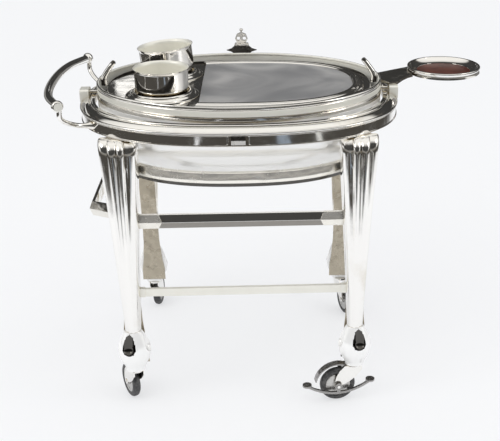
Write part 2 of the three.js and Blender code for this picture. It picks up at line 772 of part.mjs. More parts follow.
function cup(scale) {
  const base = CUP_BASE_RADIUS;
  const profile = [
    [0, 0],
    [base, 0],
    [base + 4, 1],
    [mix(base, CUP_BODY_RADIUS, 0.85), CUP_BASE_ROUND * 0.55],
    [CUP_BODY_RADIUS, CUP_BASE_ROUND + 6],
    [CUP_BODY_RADIUS, CUP_HEIGHT - 13],
    [CUP_BODY_RADIUS + 3, CUP_HEIGHT - 5],
    [CUP_LIP_RADIUS, CUP_HEIGHT],
    [CUP_LIP_RADIUS - CUP_WALL - 1, CUP_HEIGHT],
    [CUP_BODY_RADIUS - CUP_WALL, CUP_HEIGHT - 13],
    [CUP_BODY_RADIUS - CUP_WALL, CUP_BASE_ROUND + 6],
    [base, CUP_WALL + 1],
    [0, CUP_WALL + 1],
  ];
  return revolved(profile.map(([r, z]) => [r * scale, z * scale]), BIG_STEPS);
}

function horn(side) {
  const baseX = lugOuterX() - HORN_BASE_RADIUS;
  const curve = new THREE.CatmullRomCurve3([
    new THREE.Vector3(side * baseX, 0, DECK_SEAT_Z),
    new THREE.Vector3(side * baseX, 0, DECK_SEAT_Z + HORN_HEIGHT * 0.3),
    new THREE.Vector3(side * (baseX - HORN_LEAN * 0.5), 0, DECK_SEAT_Z + HORN_HEIGHT * 0.7),
    new THREE.Vector3(side * (baseX - HORN_LEAN), 0, DECK_SEAT_Z + HORN_HEIGHT),
  ]);
  const tip = 0.93;
  const radiusAt = (t) => {
    const radius = mix(HORN_BASE_RADIUS, HORN_TIP_RADIUS, t);
    return t > tip ? radius * Math.sqrt(1 - 0.9 * ((t - tip) / (1 - tip)) ** 2) : radius;
  };
  return taperedBar(curve, radiusAt, 9, 8);
}

// ---- Legs and feet ----

function legAt(z) {
  const t = (z - LEG_BOTTOM_Z) / LEG_HEIGHT;
  return {
    x: mix(LEG_ANKLE_X, LEG_TOP_X, t),
    y: mix(LEG_ANKLE_Y, LEG_TOP_Y, t),
    halfWidth: mix(LEG_ANKLE_WIDTH, LEG_TOP_WIDTH, Math.max(0, t) ** LEG_FLARE) / 2,
    reach: mix(LEG_ANKLE_REACH, LEG_TOP_REACH, t),
    back: mix(LEG_ANKLE_BACK, LEG_TOP_BACK, t),
  };
}

// One outline of a leg: reeds round the outer side, a plain fillet, and a flat back.
function legOutline(side, z) {
  const leg = legAt(z);
  const fromTop = LEG_TOP_Z - z;
  const crown = fromTop < REED_CROWN ? Math.sqrt(1 - (1 - fromTop / REED_CROWN) ** 2) : 1;
  const outline = [];
  const reedSteps = REED_COUNT * REED_STEPS;
  const filletSteps = 4;
  const steps = reedSteps + filletSteps;
  for (let i = 0; i <= steps; i += 1) {
    const inReeds = i <= reedSteps;
    const share = inReeds
      ? (REED_SHARE * i) / reedSteps
      : mix(REED_SHARE, 1, (i - reedSteps) / filletSteps);
    const angle = Math.PI * share;
    const swell = inReeds ? REED_RISE * Math.abs(Math.sin((Math.PI * i) / REED_STEPS)) : 0;
    const spread = (1 - REED_RISE + swell) * mix(0.9, 1, crown);
    const u = leg.halfWidth * Math.cos(angle) * spread;
    const depth = (leg.reach + leg.back) * Math.sin(angle) ** 0.8 * (1 - REED_RISE + swell);
    const v = depth * mix(0.6, 1, crown) - leg.back;
    outline.push(new THREE.Vector3(side.x * (leg.x + u), side.y * (leg.y + v), z));
  }
  return outline;
}

function leg(side) {
  const straight = [0, 0.2, 0.4, 0.6, 0.8].map((t) => LEG_BOTTOM_Z + t * LEG_HEIGHT);
  const crown = [1, 0.5, 0.2, 0].map((t) => LEG_TOP_Z - t * REED_CROWN);
  return loft([...straight, ...crown].map((z) => legOutline(side, z)));
}

// The flat inner plate of a leg, which flares over the flat back of the foot.
function legPlate(side) {
  const narrow = (z) => legAt(z).halfWidth * (1 - REED_RISE) - LEG_PLATE_MARGIN;
  const footLevel = (t) => FOOT_BOTTOM_Z + t * FOOT_HEIGHT;
  const legLevel = (t) => LEG_BOTTOM_Z + t * LEG_HEIGHT;
  const stations = [
    [footLevel(0.09), FOOT_PLATE_HALF_WIDTH * 0.7],
    [footLevel(0.35), FOOT_PLATE_HALF_WIDTH],
    [footLevel(0.7), FOOT_PLATE_HALF_WIDTH * 0.86],
    [legLevel(0.03), narrow(legLevel(0.03))],
    ...[0.25, 0.5, 0.75, 1].map((t) => [legLevel(t), narrow(legLevel(t))]),
  ];
  return loft(stations.map(([z, half]) => {
    const at = legAt(Math.max(z, LEG_BOTTOM_Z));
    const near = at.y - at.back - SEAT_GAP;
    const far = near - LEG_PLATE_THICKNESS;
    return [[-half, near], [half, near], [half, far], [-half, far]]
      .map(([u, v]) => new THREE.Vector3(side.x * (at.x + u), side.y * v, z));
  }));
}

// A bulb with U-shaped scoops on its outer side and a socket for the caster's stem.
function foot(side) {
  const profile = [
    [0, 0],
    [27, 0],
    [27, 8],
    [FOOT_RADIUS * 0.9, FOOT_HEIGHT * 0.28],
    [FOOT_RADIUS, FOOT_HEIGHT * 0.52],
    [FOOT_RADIUS * 0.93, FOOT_HEIGHT * 0.68],
    [FOOT_RADIUS * 0.74, FOOT_HEIGHT * 0.85],
    [LEG_ANKLE_WIDTH * 0.48, FOOT_HEIGHT],
    [0, FOOT_HEIGHT],
  ];
  const bulb = revolved(profile, FOOT_STEPS).scale(1, FOOT_DEPTH_RATIO, 1);
  const tools = SCOOP_ANGLES.map((turn) => {
    const azimuth = radians(side.y * 90 - side.x * side.y * turn);
    const reach = FOOT_RADIUS * 0.86 + SCOOP_RADIUS - SCOOP_DEPTH;
    const scoop = new THREE.CapsuleGeometry(SCOOP_RADIUS, FOOT_HEIGHT, 2, 8).rotateX(Math.PI / 2);
    const z = FOOT_HEIGHT - SCOOP_DROP + SCOOP_RADIUS + FOOT_HEIGHT / 2;
    return scoop.translate(reach * Math.cos(azimuth), reach * Math.sin(azimuth) * FOOT_DEPTH_RATIO, z);
  });
  const socket = new THREE.Vector3(0, 0, 0);
  const bore = boreRadius(STEM_RADIUS, RUNNING_GAP, PIN_STEPS);
  tools.push(rod('z', bore, 2 * (STEM_LENGTH + 1), PIN_STEPS, socket));
  const flatBack = block(1e3, 1e3, 1e3, 0, -side.y * (LEG_ANKLE_BACK + 500), 0);
  return cut(bulb, flatBack, ...tools);
}

// ---- Rails ----

// The section shared by the rails: flat behind, with two facets that meet in a ridge.
function railSection() {
  const half = RAIL_HEIGHT / 2;
  return [[0, -half], [RAIL_EDGE, -half], [RAIL_RIDGE, 0], [RAIL_EDGE, half], [0, half]];
}

function midBar(side) {
  const at = legAt(MID_BAR_Z + RAIL_HEIGHT / 2);
  const reach = at.x - at.halfWidth * (1 - REED_RISE) - SEAT_GAP;
  const outlines = [-1, 1].map((end) => railSection().map(
    ([out, up]) => new THREE.Vector3(end * reach, side * (MID_BAR_Y + out), MID_BAR_Z + up),
  ));
  return loft(outlines);
}

function bottomBar() {
  const at = legAt(BOTTOM_BAR_Z);
  const reach = at.x - at.halfWidth + BOTTOM_BAR_SEAT;
  const bar = block(2 * reach, BOTTOM_BAR_DEPTH, BOTTOM_BAR_HEIGHT, 0, -BOTTOM_BAR_Y, BOTTOM_BAR_Z);
  const blocks = [-1, 1].map((end) => block(
    BOTTOM_BLOCK_LENGTH,
    BOTTOM_BAR_DEPTH + BOTTOM_BLOCK_MARGIN,
    BOTTOM_BAR_HEIGHT + BOTTOM_BLOCK_MARGIN,
    end * (reach - BOTTOM_BLOCK_LENGTH / 2),
    -BOTTOM_BAR_Y,
    BOTTOM_BAR_Z,
  ));
  return joined(bar, ...blocks);
}

// The bowed rail between two legs, on the front or the back of the dome, with a bracket at
// each end that stands on the leg's flat plate.
function hoop(side) {
  const at = legAt(HOOP_Z);
  const endX = at.x - 6;
  const endAngle = Math.acos((endX / HOOP_HALF_LENGTH) ** (OVAL_EXPONENT / 2));
  const outlines = [];
  for (let i = 0; i <= HOOP_STEPS; i += 1) {
    const angle = mix(endAngle, Math.PI - endAngle, i / HOOP_STEPS);
    outlines.push(railSection().map(([out, up]) => {
      const point = onOval(HOOP_HALF_LENGTH + out, HOOP_HALF_DEPTH + out, angle, HOOP_Z + up);
      point.y *= side;
      return point;
    }));
  }
  const atTop = legAt(HOOP_Z + RAIL_HEIGHT / 2);
  const plateY = atTop.y - atTop.back - LEG_PLATE_THICKNESS - 2 * SEAT_GAP;
  const brackets = [-1, 1].map((end) => block(
    HOOP_BRACKET_WIDTH,
    plateY - HOOP_BRACKET_Y,
    RAIL_HEIGHT - 2,
    end * HOOP_BRACKET_X,
    (side * (plateY + HOOP_BRACKET_Y)) / 2,
    HOOP_Z,
  ));
  return joined(loft(outlines), ...brackets);
}

// The rail at the left end, with a mitred corner and an arm to each leg.
function endRail() {
  const at = legAt(END_RAIL_Z + RAIL_HEIGHT / 2);
  const legY = at.y - at.back - LEG_PLATE_THICKNESS - 2 * SEAT_GAP;
  const corner = [-END_RAIL_X, END_RAIL_HALF_LENGTH];
  const armEnd = [-(at.x + 6), legY + 2 * RAIL_RIDGE];
  const half = [corner, [-END_ARM_X, END_ARM_Y], armEnd];
  const path = [...half.map(([x, y]) => [x, -y]).reverse(), ...half].map(([x, y]) => new THREE.Vector2(x, y));
  const outlines = path.map((point, i) => {
    const before = path[Math.max(0, i - 1)];
    const after = path[Math.min(path.length - 1, i + 1)];
    const along = after.clone().sub(before).normalize();
    const out = new THREE.Vector2(-along.y, along.x);
    return railSection().map(([reach, up]) => {
      const at2 = point.clone().addScaledVector(out, reach);
      return new THREE.Vector3(at2.x, at2.y, END_RAIL_Z + up);
    });
  });
  const beyond = [-1, 1].map((end) => block(1e3, 1e3, 1e3, -at.x, end * (legY + 500), END_RAIL_Z));
  return cut(loft(outlines), ...beyond);
}

// ---- Casters: built with the trail along +X, then turned ----

function cheekOutline() {
  const outline = new THREE.Shape();
  const headZ = YOKE_TOP_Z;
  outline.moveTo(-YOKE_HEAD_RADIUS + 4, headZ);
  outline.lineTo(-YOKE_HEAD_RADIUS + 4, headZ - 14);
  outline.quadraticCurveTo(2, WHEEL_RADIUS + 14, CASTER_TRAIL - AXLE_BOSS_RADIUS, WHEEL_RADIUS);
  outline.absarc(CASTER_TRAIL, WHEEL_RADIUS, AXLE_BOSS_RADIUS, Math.PI, 2 * Math.PI);
  outline.quadraticCurveTo(CASTER_TRAIL + 8, headZ - 18, YOKE_HEAD_RADIUS + 6, headZ);
  return outline;
}

function yoke(pedal) {
  const cheekY = WHEEL_WIDTH / 2 + YOKE_SIDE_PLAY;
  const head = new THREE.Vector3(YOKE_HEAD_OFFSET, 0, YOKE_TOP_Z - YOKE_PLATE / 2);
  const stem = new THREE.Vector3(0, 0, YOKE_TOP_Z + STEM_LENGTH / 2 - 1);
  let body = solidOf(rod('z', YOKE_HEAD_RADIUS, YOKE_PLATE, SMALL_STEPS, head));
  body = body.add(solidOf(rod('z', STEM_RADIUS, STEM_LENGTH + 2, PIN_STEPS, stem)));
  for (const sideY of [-1, 1]) {
    const cheek = extruded(cheekOutline(), YOKE_CHEEK).rotateX(Math.PI / 2);
    cheek.translate(0, sideY > 0 ? cheekY + YOKE_CHEEK : -cheekY, 0);
    body = body.add(solidOf(cheek));
  }
  const outside = cheekY + YOKE_CHEEK;
  const nearEnd = outside + (pedal ? PEDAL_BAR + 2 : 2);
  const axle = new THREE.Vector3(CASTER_TRAIL, (nearEnd - outside - 2) / 2, WHEEL_RADIUS);
  body = body.add(solidOf(rod('y', AXLE_RADIUS, nearEnd + outside + 2, PIN_STEPS, axle)));
  return geometryOf(body);
}

function wheel() {
  const half = WHEEL_WIDTH / 2;
  const bore = boreRadius(AXLE_RADIUS, RUNNING_GAP, WHEEL_STEPS);
  const tread = WHEEL_RADIUS / Math.cos(Math.PI / WHEEL_STEPS);
  const profile = [
    [bore, -half],
    [WHEEL_HUB_RADIUS, -half],
    [tread - 13, -half + 5],
    [tread - 11, -half],
    [tread, -half * 0.4],
    [tread, half * 0.4],
    [tread - 11, half],
    [tread - 13, half - 5],
    [WHEEL_HUB_RADIUS, half],
    [bore, half],
    [bore, -half],
  ];
  // Half a step of turn puts a flat of the tread on the floor.
  return revolved(profile, WHEEL_STEPS).rotateZ(Math.PI / WHEEL_STEPS).rotateX(Math.PI / 2);
}

// ---- Brake ----

// A curved guard over the wheel's top, and a rocking pedal with a pad at each end.
function brakeGuard() {
  const inner = WHEEL_RADIUS + GUARD_GAP;
  const outer = inner + GUARD_THICKNESS;
  const steps = 8;
  const half = WHEEL_WIDTH / 2;
  const outlines = [];
  for (let i = 0; i <= steps; i += 1) {
    const angle = radians(mix(GUARD_START, GUARD_END, i / steps));
    const corners = [[inner, -half], [outer, -half], [outer, half], [inner, half]];
    outlines.push(corners.map(([r, y]) => new THREE.Vector3(
      CASTER_TRAIL - r * Math.cos(angle),
      y,
      WHEEL_RADIUS + r * Math.sin(angle),
    )));
  }
  const headEdge = YOKE_HEAD_OFFSET + YOKE_HEAD_RADIUS + SEAT_GAP;
  const tabTop = YOKE_TOP_Z + GUARD_THICKNESS;
  const tab = block(GUARD_TAB, WHEEL_WIDTH, tabTop - YOKE_TOP_Z + YOKE_PLATE, headEdge + GUARD_TAB / 2, 0,
    (tabTop + YOKE_TOP_Z - YOKE_PLATE) / 2);
  return joined(loft(outlines), tab);
}

function pedalY() {
  return WHEEL_WIDTH / 2 + YOKE_SIDE_PLAY + YOKE_CHEEK + SEAT_GAP + PEDAL_BAR / 2;
}

function brakePedal() {
  const steps = 8;
  const outlines = [];
  for (let i = 0; i <= steps; i += 1) {
    const share = mix(-1, 1, i / steps);
    const x = CASTER_TRAIL + PEDAL_HALF_SPAN * share;
    const z = WHEEL_RADIUS - PEDAL_DROP + PEDAL_SAG * share ** 2;
    const half = PEDAL_BAR / 2;
    outlines.push([
      new THREE.Vector3(x, pedalY() - half, z - half),
      new THREE.Vector3(x, pedalY() + half, z - half),
      new THREE.Vector3(x, pedalY() + half, z + half),
      new THREE.Vector3(x, pedalY() - half, z + half),
    ]);
  }
  const padZ = WHEEL_RADIUS - PEDAL_DROP + PEDAL_SAG + PEDAL_BAR / 2;
  let body = solidOf(loft(outlines));
  for (const end of [-1, 1]) {
    const centre = new THREE.Vector3(CASTER_TRAIL + end * PEDAL_HALF_SPAN, pedalY(), padZ);
    body = body.add(solidOf(rod('z', PEDAL_PAD_RADIUS, PEDAL_PAD_THICKNESS, SMALL_STEPS, centre)));
  }
  const hub = new THREE.Vector3(CASTER_TRAIL, pedalY(), WHEEL_RADIUS);
  body = body.add(solidOf(rod('y', AXLE_BOSS_RADIUS, PEDAL_BAR, SMALL_STEPS, hub)));
  body = body.add(solidOf(block(10, PEDAL_BAR, PEDAL_DROP, hub.x, hub.y, hub.z - PEDAL_DROP / 2)));
  const bore = boreRadius(AXLE_RADIUS, RUNNING_GAP, PIN_STEPS);
  body = body.subtract(solidOf(rod('y', bore, 3 * PEDAL_BAR, PIN_STEPS, hub)));
  return geometryOf(body);
}

function addCaster(side) {
  const braked = side.name === 'front_right';
  const carrier = new THREE.Group();
  carrier.position.set(side.x * LEG_ANKLE_X, side.y * LEG_ANKLE_Y, 0);
  carrier.rotation.z = radians(side.heading);
  trolley.add(carrier);
  const yokePiece = addPiece(`yoke_${side.name}`, yoke(braked), polished(SILVER));
  const rubber = plain(RUBBER, 0.6);
  const wheelPiece = addPiece(`wheel_${side.name}`, wheel(), rubber, CASTER_TRAIL, 0, WHEEL_RADIUS);
  carrier.add(yokePiece, wheelPiece);
  if (braked) {
    carrier.add(addPiece('brake_guard', brakeGuard(), brushed(STEEL)));
    carrier.add(addPiece('brake_pedal', brakePedal(), brushed(STEEL)));
  }
}

// ---- Push handle ----

function gripCurve() {
  return new THREE.CatmullRomCurve3([-1, -0.62, 0, 0.62, 1].map((share) => new THREE.Vector3(
    GRIP_END_X - GRIP_BOW * (1 - Math.abs(share) ** GRIP_FULLNESS),
    GRIP_HALF_LENGTH * share,
    GRIP_Z,
  )));
}

// The grip with its end rings, grown by a margin where it serves as a cutting tool.
function handleGrip(margin) {
  const ringShare = 0.035;
  const radiusAt = (t) => {
    const fromEnd = Math.min(t, 1 - t);
    const ring = GRIP_RING_RADIUS * Math.sqrt(1 - 0.5 * ((fromEnd / ringShare) * 2 - 1) ** 2);
    const bar = mix(GRIP_RADIUS * 0.84, GRIP_RADIUS, Math.sin(Math.PI * t));
    return margin + (fromEnd < ringShare ? ring : bar);
  };
  return taperedBar(gripCurve(), radiusAt, 20, 8);
}

// A swan-necked arm from under the grip's end to a trumpet foot on the skirt.
function handleArm(side) {
  const angle = radians(ARM_FOOT_ANGLE);
  const skirtZ = SKIRT_BOTTOM_Z + SKIRT_HEIGHT * 0.5;
  const footInset = SKIRT_WALL_INSET - PANEL_RISE - 2 * SEAT_GAP;
  const atSkirt = onFrame(footInset + ARM_FOOT_RADIUS, angle, skirtZ);
  const offSkirt = onFrame(footInset - 40, angle, skirtZ);
  const curve = new THREE.CatmullRomCurve3([
    new THREE.Vector3(GRIP_END_X, side * GRIP_HALF_LENGTH * 0.97, GRIP_Z - GRIP_RADIUS / 2),
    new THREE.Vector3(GRIP_END_X, side * GRIP_HALF_LENGTH * 0.95, GRIP_Z - 34),
    new THREE.Vector3(offSkirt.x, side * offSkirt.y, skirtZ + 9),
    new THREE.Vector3(atSkirt.x, side * atSkirt.y, skirtZ),
  ]);
  const radiusAt = (t) => (t < 0.75 ? ARM_RADIUS : mix(ARM_RADIUS, ARM_FOOT_RADIUS, ((t - 0.75) / 0.2) ** 2));
  const frame = ovalPlate(footInset, SKIRT_BOTTOM_Z, MOULDING_TOP_Z);
  return cut(taperedBar(curve, radiusAt, 11, 8), frame, handleGrip(SEAT_GAP));
}

// ---- Plate holder ----

function holderBottomZ() {
  return PIVOT_Z + BLOCK_RISE + SEAT_GAP;
}

function holderRing() {
  const outer = HOLDER_RADIUS;
  const inner = outer - HOLDER_WALL;
  const ledge = inner - HOLDER_LEDGE;
  return revolved([
    [ledge, 0],
    [outer - 0.6, 0],
    [outer - 2.6, HOLDER_HEIGHT * 0.5],
    [outer - 2, HOLDER_HEIGHT * 0.58],
    [outer, HOLDER_HEIGHT - 2],
    [outer - 2, HOLDER_HEIGHT],
    [inner, HOLDER_HEIGHT],
    [inner, 2],
    [ledge, 2],
    [ledge, 0],
  ], HOLDER_STEPS);
}

function holderBase() {
  const radius = HOLDER_RADIUS - HOLDER_WALL - SEAT_GAP;
  const centre = new THREE.Vector3(0, 0, 2 + SEAT_GAP + HOLDER_BASE_THICKNESS / 2);
  return rod('z', radius, HOLDER_BASE_THICKNESS, HOLDER_STEPS, centre);
}

// A flat arm that lies on the right pivot block, clear of the dome's end, and meets the ring.
function holderArm() {
  const rootX = FRAME_HALF_LENGTH - DOME_INSET + HOLDER_ARM_PLAY;
  const blockX = FRAME_HALF_LENGTH + BLOCK_OVERHANG - BLOCK_LENGTH;
  const endX = HOLDER_X - HOLDER_RADIUS + HOLDER_WALL;
  const outline = new THREE.Shape();
  outline.moveTo(rootX, BLOCK_HALF_WIDTH);
  outline.lineTo(blockX, -BLOCK_HALF_WIDTH * 0.4);
  outline.lineTo(blockX + BLOCK_LENGTH, -BLOCK_HALF_WIDTH * 0.2);
  const endY = HOLDER_Y - HOLDER_ARM_END_WIDTH / 2;
  outline.quadraticCurveTo(mix(blockX, endX, 0.7), HOLDER_Y - HOLDER_ARM_END_WIDTH * 0.6, endX, endY);
  outline.lineTo(endX, HOLDER_Y + HOLDER_ARM_END_WIDTH * 0.3);
  outline.quadraticCurveTo(mix(blockX, endX, 0.5), HOLDER_Y + 10, rootX, HOLDER_ARM_ROOT_WIDTH);
  const arm = extruded(outline, HOLDER_ARM_THICKNESS).translate(0, 0, holderBottomZ());
  const ringSpace = new THREE.Vector3(HOLDER_X, HOLDER_Y, holderBottomZ());
  return cut(arm, rod('z', HOLDER_RADIUS + SEAT_GAP, 100, HOLDER_STEPS, ringSpace));
}

// ---- The whole ----

addPiece('top_moulding', topMoulding(), polished(SILVER));
addPiece('skirt_band', skirtBand(), polished(SILVER));
addPiece('skirt_panel_left', skirtPanel(-1), polished(SILVER));
addPiece('skirt_panel_right', skirtPanel(1), polished(SILVER));
addPiece('latch_plate', latchPlate(), polished(SILVER));
for (const [name, side] of [['left', -1], ['right', 1]]) {
  addPiece(`pivot_block_${name}`, pivotBlock(side), polished(SILVER));
  addPiece(`pivot_pin_${name}`, pivotPin(side), brushed(STEEL));
  addPiece(`horn_${name}`, horn(side), polished(SILVER));
}
addPiece('dome_shell', domeShell(), polished(SILVER));
addPiece('dome_handle', domeHandle(), polished(SILVER));
addPiece('dome_knob', domeKnob(), polished(SILVER));
addPiece('tray_deck', trayDeck(), polished(SILVER));
addPiece('water_pan', waterPan(), brushed(TARNISHED));
addPiece('carving_plate', carvingPlate(), polished(SILVER));
addPiece('plate_surround', plateSurround(), polished(SILVER));
addPiece('well_collar_front', wellCollar(), polished(SILVER), WELL_X, -WELL_Y, DECK_SEAT_Z);
addPiece('well_collar_rear', wellCollar(), polished(SILVER), WELL_X, WELL_Y, DECK_SEAT_Z);
addPiece('cup_front', cup(1), polished(SILVER), WELL_X, -WELL_Y, DECK_SEAT_Z);
// The rear cup stands askew in its well.
const leanLift = CUP_BASE_RADIUS * CUP_REAR_SCALE * Math.sin(radians(CUP_LEAN)) + SEAT_GAP;
addPiece('cup_rear', cup(CUP_REAR_SCALE), polished(SILVER), WELL_X, WELL_Y, DECK_SEAT_Z + leanLift)
  .rotation.y = radians(-CUP_LEAN);
for (const side of SIDES) {
  addPiece(`leg_${side.name}`, leg(side), polished(SILVER));
  addPiece(`leg_plate_${side.name}`, legPlate(side), brushed(TARNISHED));
  const footX = side.x * LEG_ANKLE_X;
  addPiece(`foot_${side.name}`, foot(side), polished(SILVER), footX, side.y * LEG_ANKLE_Y, FOOT_BOTTOM_Z);
  addCaster(side);
}
for (const [name, side] of [['front', -1], ['rear', 1]]) {
  addPiece(`hoop_${name}`, hoop(side), polished(SILVER));
  addPiece(`mid_bar_${name}`, midBar(side), polished(SILVER));
  addPiece(`handle_arm_${name}`, handleArm(side), polished(SILVER));
}
addPiece('bottom_bar_front', bottomBar(), polished(SILVER));
addPiece('end_rail', endRail(), polished(SILVER));
addPiece('handle_grip', handleGrip(0), polished(SILVER));
addPiece('holder_ring', holderRing(), polished(SILVER), HOLDER_X, HOLDER_Y, holderBottomZ());
addPiece('holder_base', holderBase(), plain(LEATHER, 0.4), HOLDER_X, HOLDER_Y, holderBottomZ());
addPiece('holder_arm', holderArm(), polished(SILVER));

// The origin is on the floor, under the middle of the whole.
const extent = new THREE.Box3().setFromObject(trolley);
const middle = extent.getCenter(new THREE.Vector3());
trolley.position.set(-middle.x, -middle.y, -extent.min.z);

export default trolley;
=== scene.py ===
"""A silver-plated carving trolley with its domed cover open, dressed over its CAD frame."""
import bmesh
import bpy
import math
from mathutils import Matrix, Vector


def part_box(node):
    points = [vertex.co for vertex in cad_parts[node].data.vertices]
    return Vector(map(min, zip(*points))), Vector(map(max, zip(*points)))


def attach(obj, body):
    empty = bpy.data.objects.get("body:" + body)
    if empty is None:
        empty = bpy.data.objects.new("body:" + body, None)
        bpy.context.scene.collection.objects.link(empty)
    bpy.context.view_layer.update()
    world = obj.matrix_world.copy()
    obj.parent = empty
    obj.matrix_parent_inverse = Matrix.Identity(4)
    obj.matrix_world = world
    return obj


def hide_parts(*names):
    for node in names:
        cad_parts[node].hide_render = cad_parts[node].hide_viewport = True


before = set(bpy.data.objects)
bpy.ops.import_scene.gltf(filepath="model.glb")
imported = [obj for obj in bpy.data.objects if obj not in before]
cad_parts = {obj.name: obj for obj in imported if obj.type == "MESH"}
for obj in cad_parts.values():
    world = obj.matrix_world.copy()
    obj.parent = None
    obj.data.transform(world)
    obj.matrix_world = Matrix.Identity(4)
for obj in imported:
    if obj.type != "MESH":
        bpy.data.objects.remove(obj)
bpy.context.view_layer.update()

# ---- Camera ----
# A long lens from a little above the tray, set to the right of the photograph's middle.
camera_data = bpy.data.cameras.new("camera")
camera_data.lens = 71.73
camera_data.sensor_width = 36
camera_data.shift_x = -0.124
camera = bpy.data.objects.new("camera", camera_data)
camera.location = (-0.0191, -2.6975, 1.5866)
camera.rotation_euler = (math.pi / 2 - 0.408, 0, -0.049)
bpy.context.scene.collection.objects.link(camera)
bpy.context.scene.camera = camera

# ---- Studio ----
# A pale sheet in even daylight. Only what shines sees the room: a dark floor round the sheet
# with a few light streaks, dark walls in front and behind, a bright ceiling and pale sides.
WHITE_SHEET = (0.925, 0.93, 0.94, 1)
DARK_ROOM = (0.056, 0.051, 0.044, 1)
FAR_ROOM = (0.2, 0.185, 0.16, 1)
BEHIND_SHEET = (0.2, 0.195, 0.185, 1)
FLOOR_SEEN = (0.37, 0.372, 0.376, 1)
FLOOR_GLOW = 0.6
FLOOR_STREAKS = ((0.62, 0.16, (0.24, 0.28, 0.33, 1)), (-0.85, 0.05, (0.75, 0.76, 0.78, 1)),
                 (1.5, 0.1, (0.62, 0.62, 0.6, 1)))
ROOM_BANDS = ((0.0, 0.3), (0.025, 0.22), (0.05, 0.04), (0.28, 0.05), (0.34, 0.8), (0.5, 0.97),
              (0.68, 0.92), (0.76, 0.5), (0.82, 0.06), (0.96, 0.05), (0.985, 0.1))
BY_CAMERA = (0.16, 0.15, 0.13, 1)
ROOM_THINGS = (0.12, 0.11, 0.098, 1)
ROOM_SIDES = (0.86, 0.86, 0.85, 1)
AMBIENT = (0.745, 0.755, 0.775, 1)
BACKDROP = (0.93, 0.935, 0.945, 1)
DAYLIGHT = (1, 0.99, 0.97)


def add_node(tree, kind, **values):
    """A shader node with its settings and the values of its inputs."""
    node = tree.nodes.new(kind)
    for key, value in values.items():
        if key in node.bl_rna.properties:
            setattr(node, key, value)
        else:
            node.inputs[key].default_value = value
    return node


def mix_colors(tree, factor, first, second, blend="MIX"):
    """The output of a colour mix. Each argument is a value or another node's output."""
    node = add_node(tree, "ShaderNodeMix", data_type="RGBA", blend_type=blend)
    for socket, value in ((node.inputs[0], factor), (node.inputs[6], first), (node.inputs[7], second)):
        if isinstance(value, bpy.types.NodeSocket):
            tree.links.new(value, socket)
        else:
            socket.default_value = value
    return node.outputs[2]


def ramp(tree, value, low, high, to_low=0.0, to_high=1.0):
    """A smooth map of a value from one range to another."""
    node = add_node(tree, "ShaderNodeMapRange", interpolation_type="SMOOTHSTEP")
    tree.links.new(value, node.inputs[0])
    for index, number in enumerate((low, high, to_low, to_high), 1):
        node.inputs[index].default_value = number
    return node.outputs[0]


def maths(tree, operation, first, second=0.0):
    """The output of a maths node. Each argument is a value or another node's output."""
    node = add_node(tree, "ShaderNodeMath", operation=operation)
    for socket, value in ((node.inputs[0], first), (node.inputs[1], second)):
        if isinstance(value, bpy.types.NodeSocket):
            tree.links.new(value, socket)
        else:
            socket.default_value = value
    return node.outputs[0]


floor_material = bpy.data.materials.new("floor_sheet")
floor_material.use_nodes = True
tree = floor_material.node_tree
shader = tree.nodes["Principled BSDF"]
shader.inputs["Roughness"].default_value = 0.9
shader.inputs["Specular IOR Level"].default_value = 0.1
place = add_node(tree, "ShaderNodeNewGeometry").outputs["Position"]
axes = add_node(tree, "ShaderNodeSeparateXYZ")
tree.links.new(place, axes.inputs[0])
folds = add_node(tree, "ShaderNodeTexNoise", Scale=1.3, Detail=2.0)
tree.links.new(place, folds.inputs["Vector"])
ahead = maths(tree, "MINIMUM", axes.outputs[1], 0.0)
across = maths(tree, "MULTIPLY", axes.outputs[0], 0.8)
ahead_squared = maths(tree, "MULTIPLY", ahead, ahead)
across_squared = maths(tree, "MULTIPLY", across, across)
away = maths(tree, "SQRT", maths(tree, "ADD", ahead_squared, across_squared))
away = maths(tree, "SUBTRACT", away, maths(tree, "MULTIPLY", folds.outputs[0], 0.8))
on_sheet = ramp(tree, away, 1.15, 1.6, 1, 0)
far_off = ramp(tree, away, 3.6, 4.8)
room_floor = mix_colors(tree, far_off, DARK_ROOM, FAR_ROOM)
for streak, width, glow in FLOOR_STREAKS:
    gap = maths(tree, "ABSOLUTE", maths(tree, "SUBTRACT", axes.outputs[0], streak))
    room_floor = mix_colors(tree, ramp(tree, gap, width * 0.6, width, 1, 0), room_floor, glow)
reflected = mix_colors(tree, on_sheet, room_floor, WHITE_SHEET)
reflected = mix_colors(tree, ramp(tree, axes.outputs[1], 2.2, 3.2), reflected, BEHIND_SHEET)
path = add_node(tree, "ShaderNodeLightPath")
sheet = mix_colors(tree, path.outputs["Is Glossy Ray"], WHITE_SHEET, reflected)
sheet = mix_colors(tree, path.outputs["Is Camera Ray"], sheet, FLOOR_SEEN)
tree.links.new(sheet, shader.inputs["Base Color"])
shader.inputs["Emission Color"].default_value = WHITE_SHEET
glow = maths(tree, "MULTIPLY", path.outputs["Is Camera Ray"], FLOOR_GLOW)
tree.links.new(glow, shader.inputs["Emission Strength"])
mesh = bpy.data.meshes.new("floor")
mesh.from_pydata([(-14, -14, 0), (14, -14, 0), (14, 14, 0), (-14, 14, 0)], [], [(0, 1, 2, 3)])
mesh.materials.append(floor_material)
floor = bpy.data.objects.new("floor", mesh)
bpy.context.scene.collection.objects.link(floor)

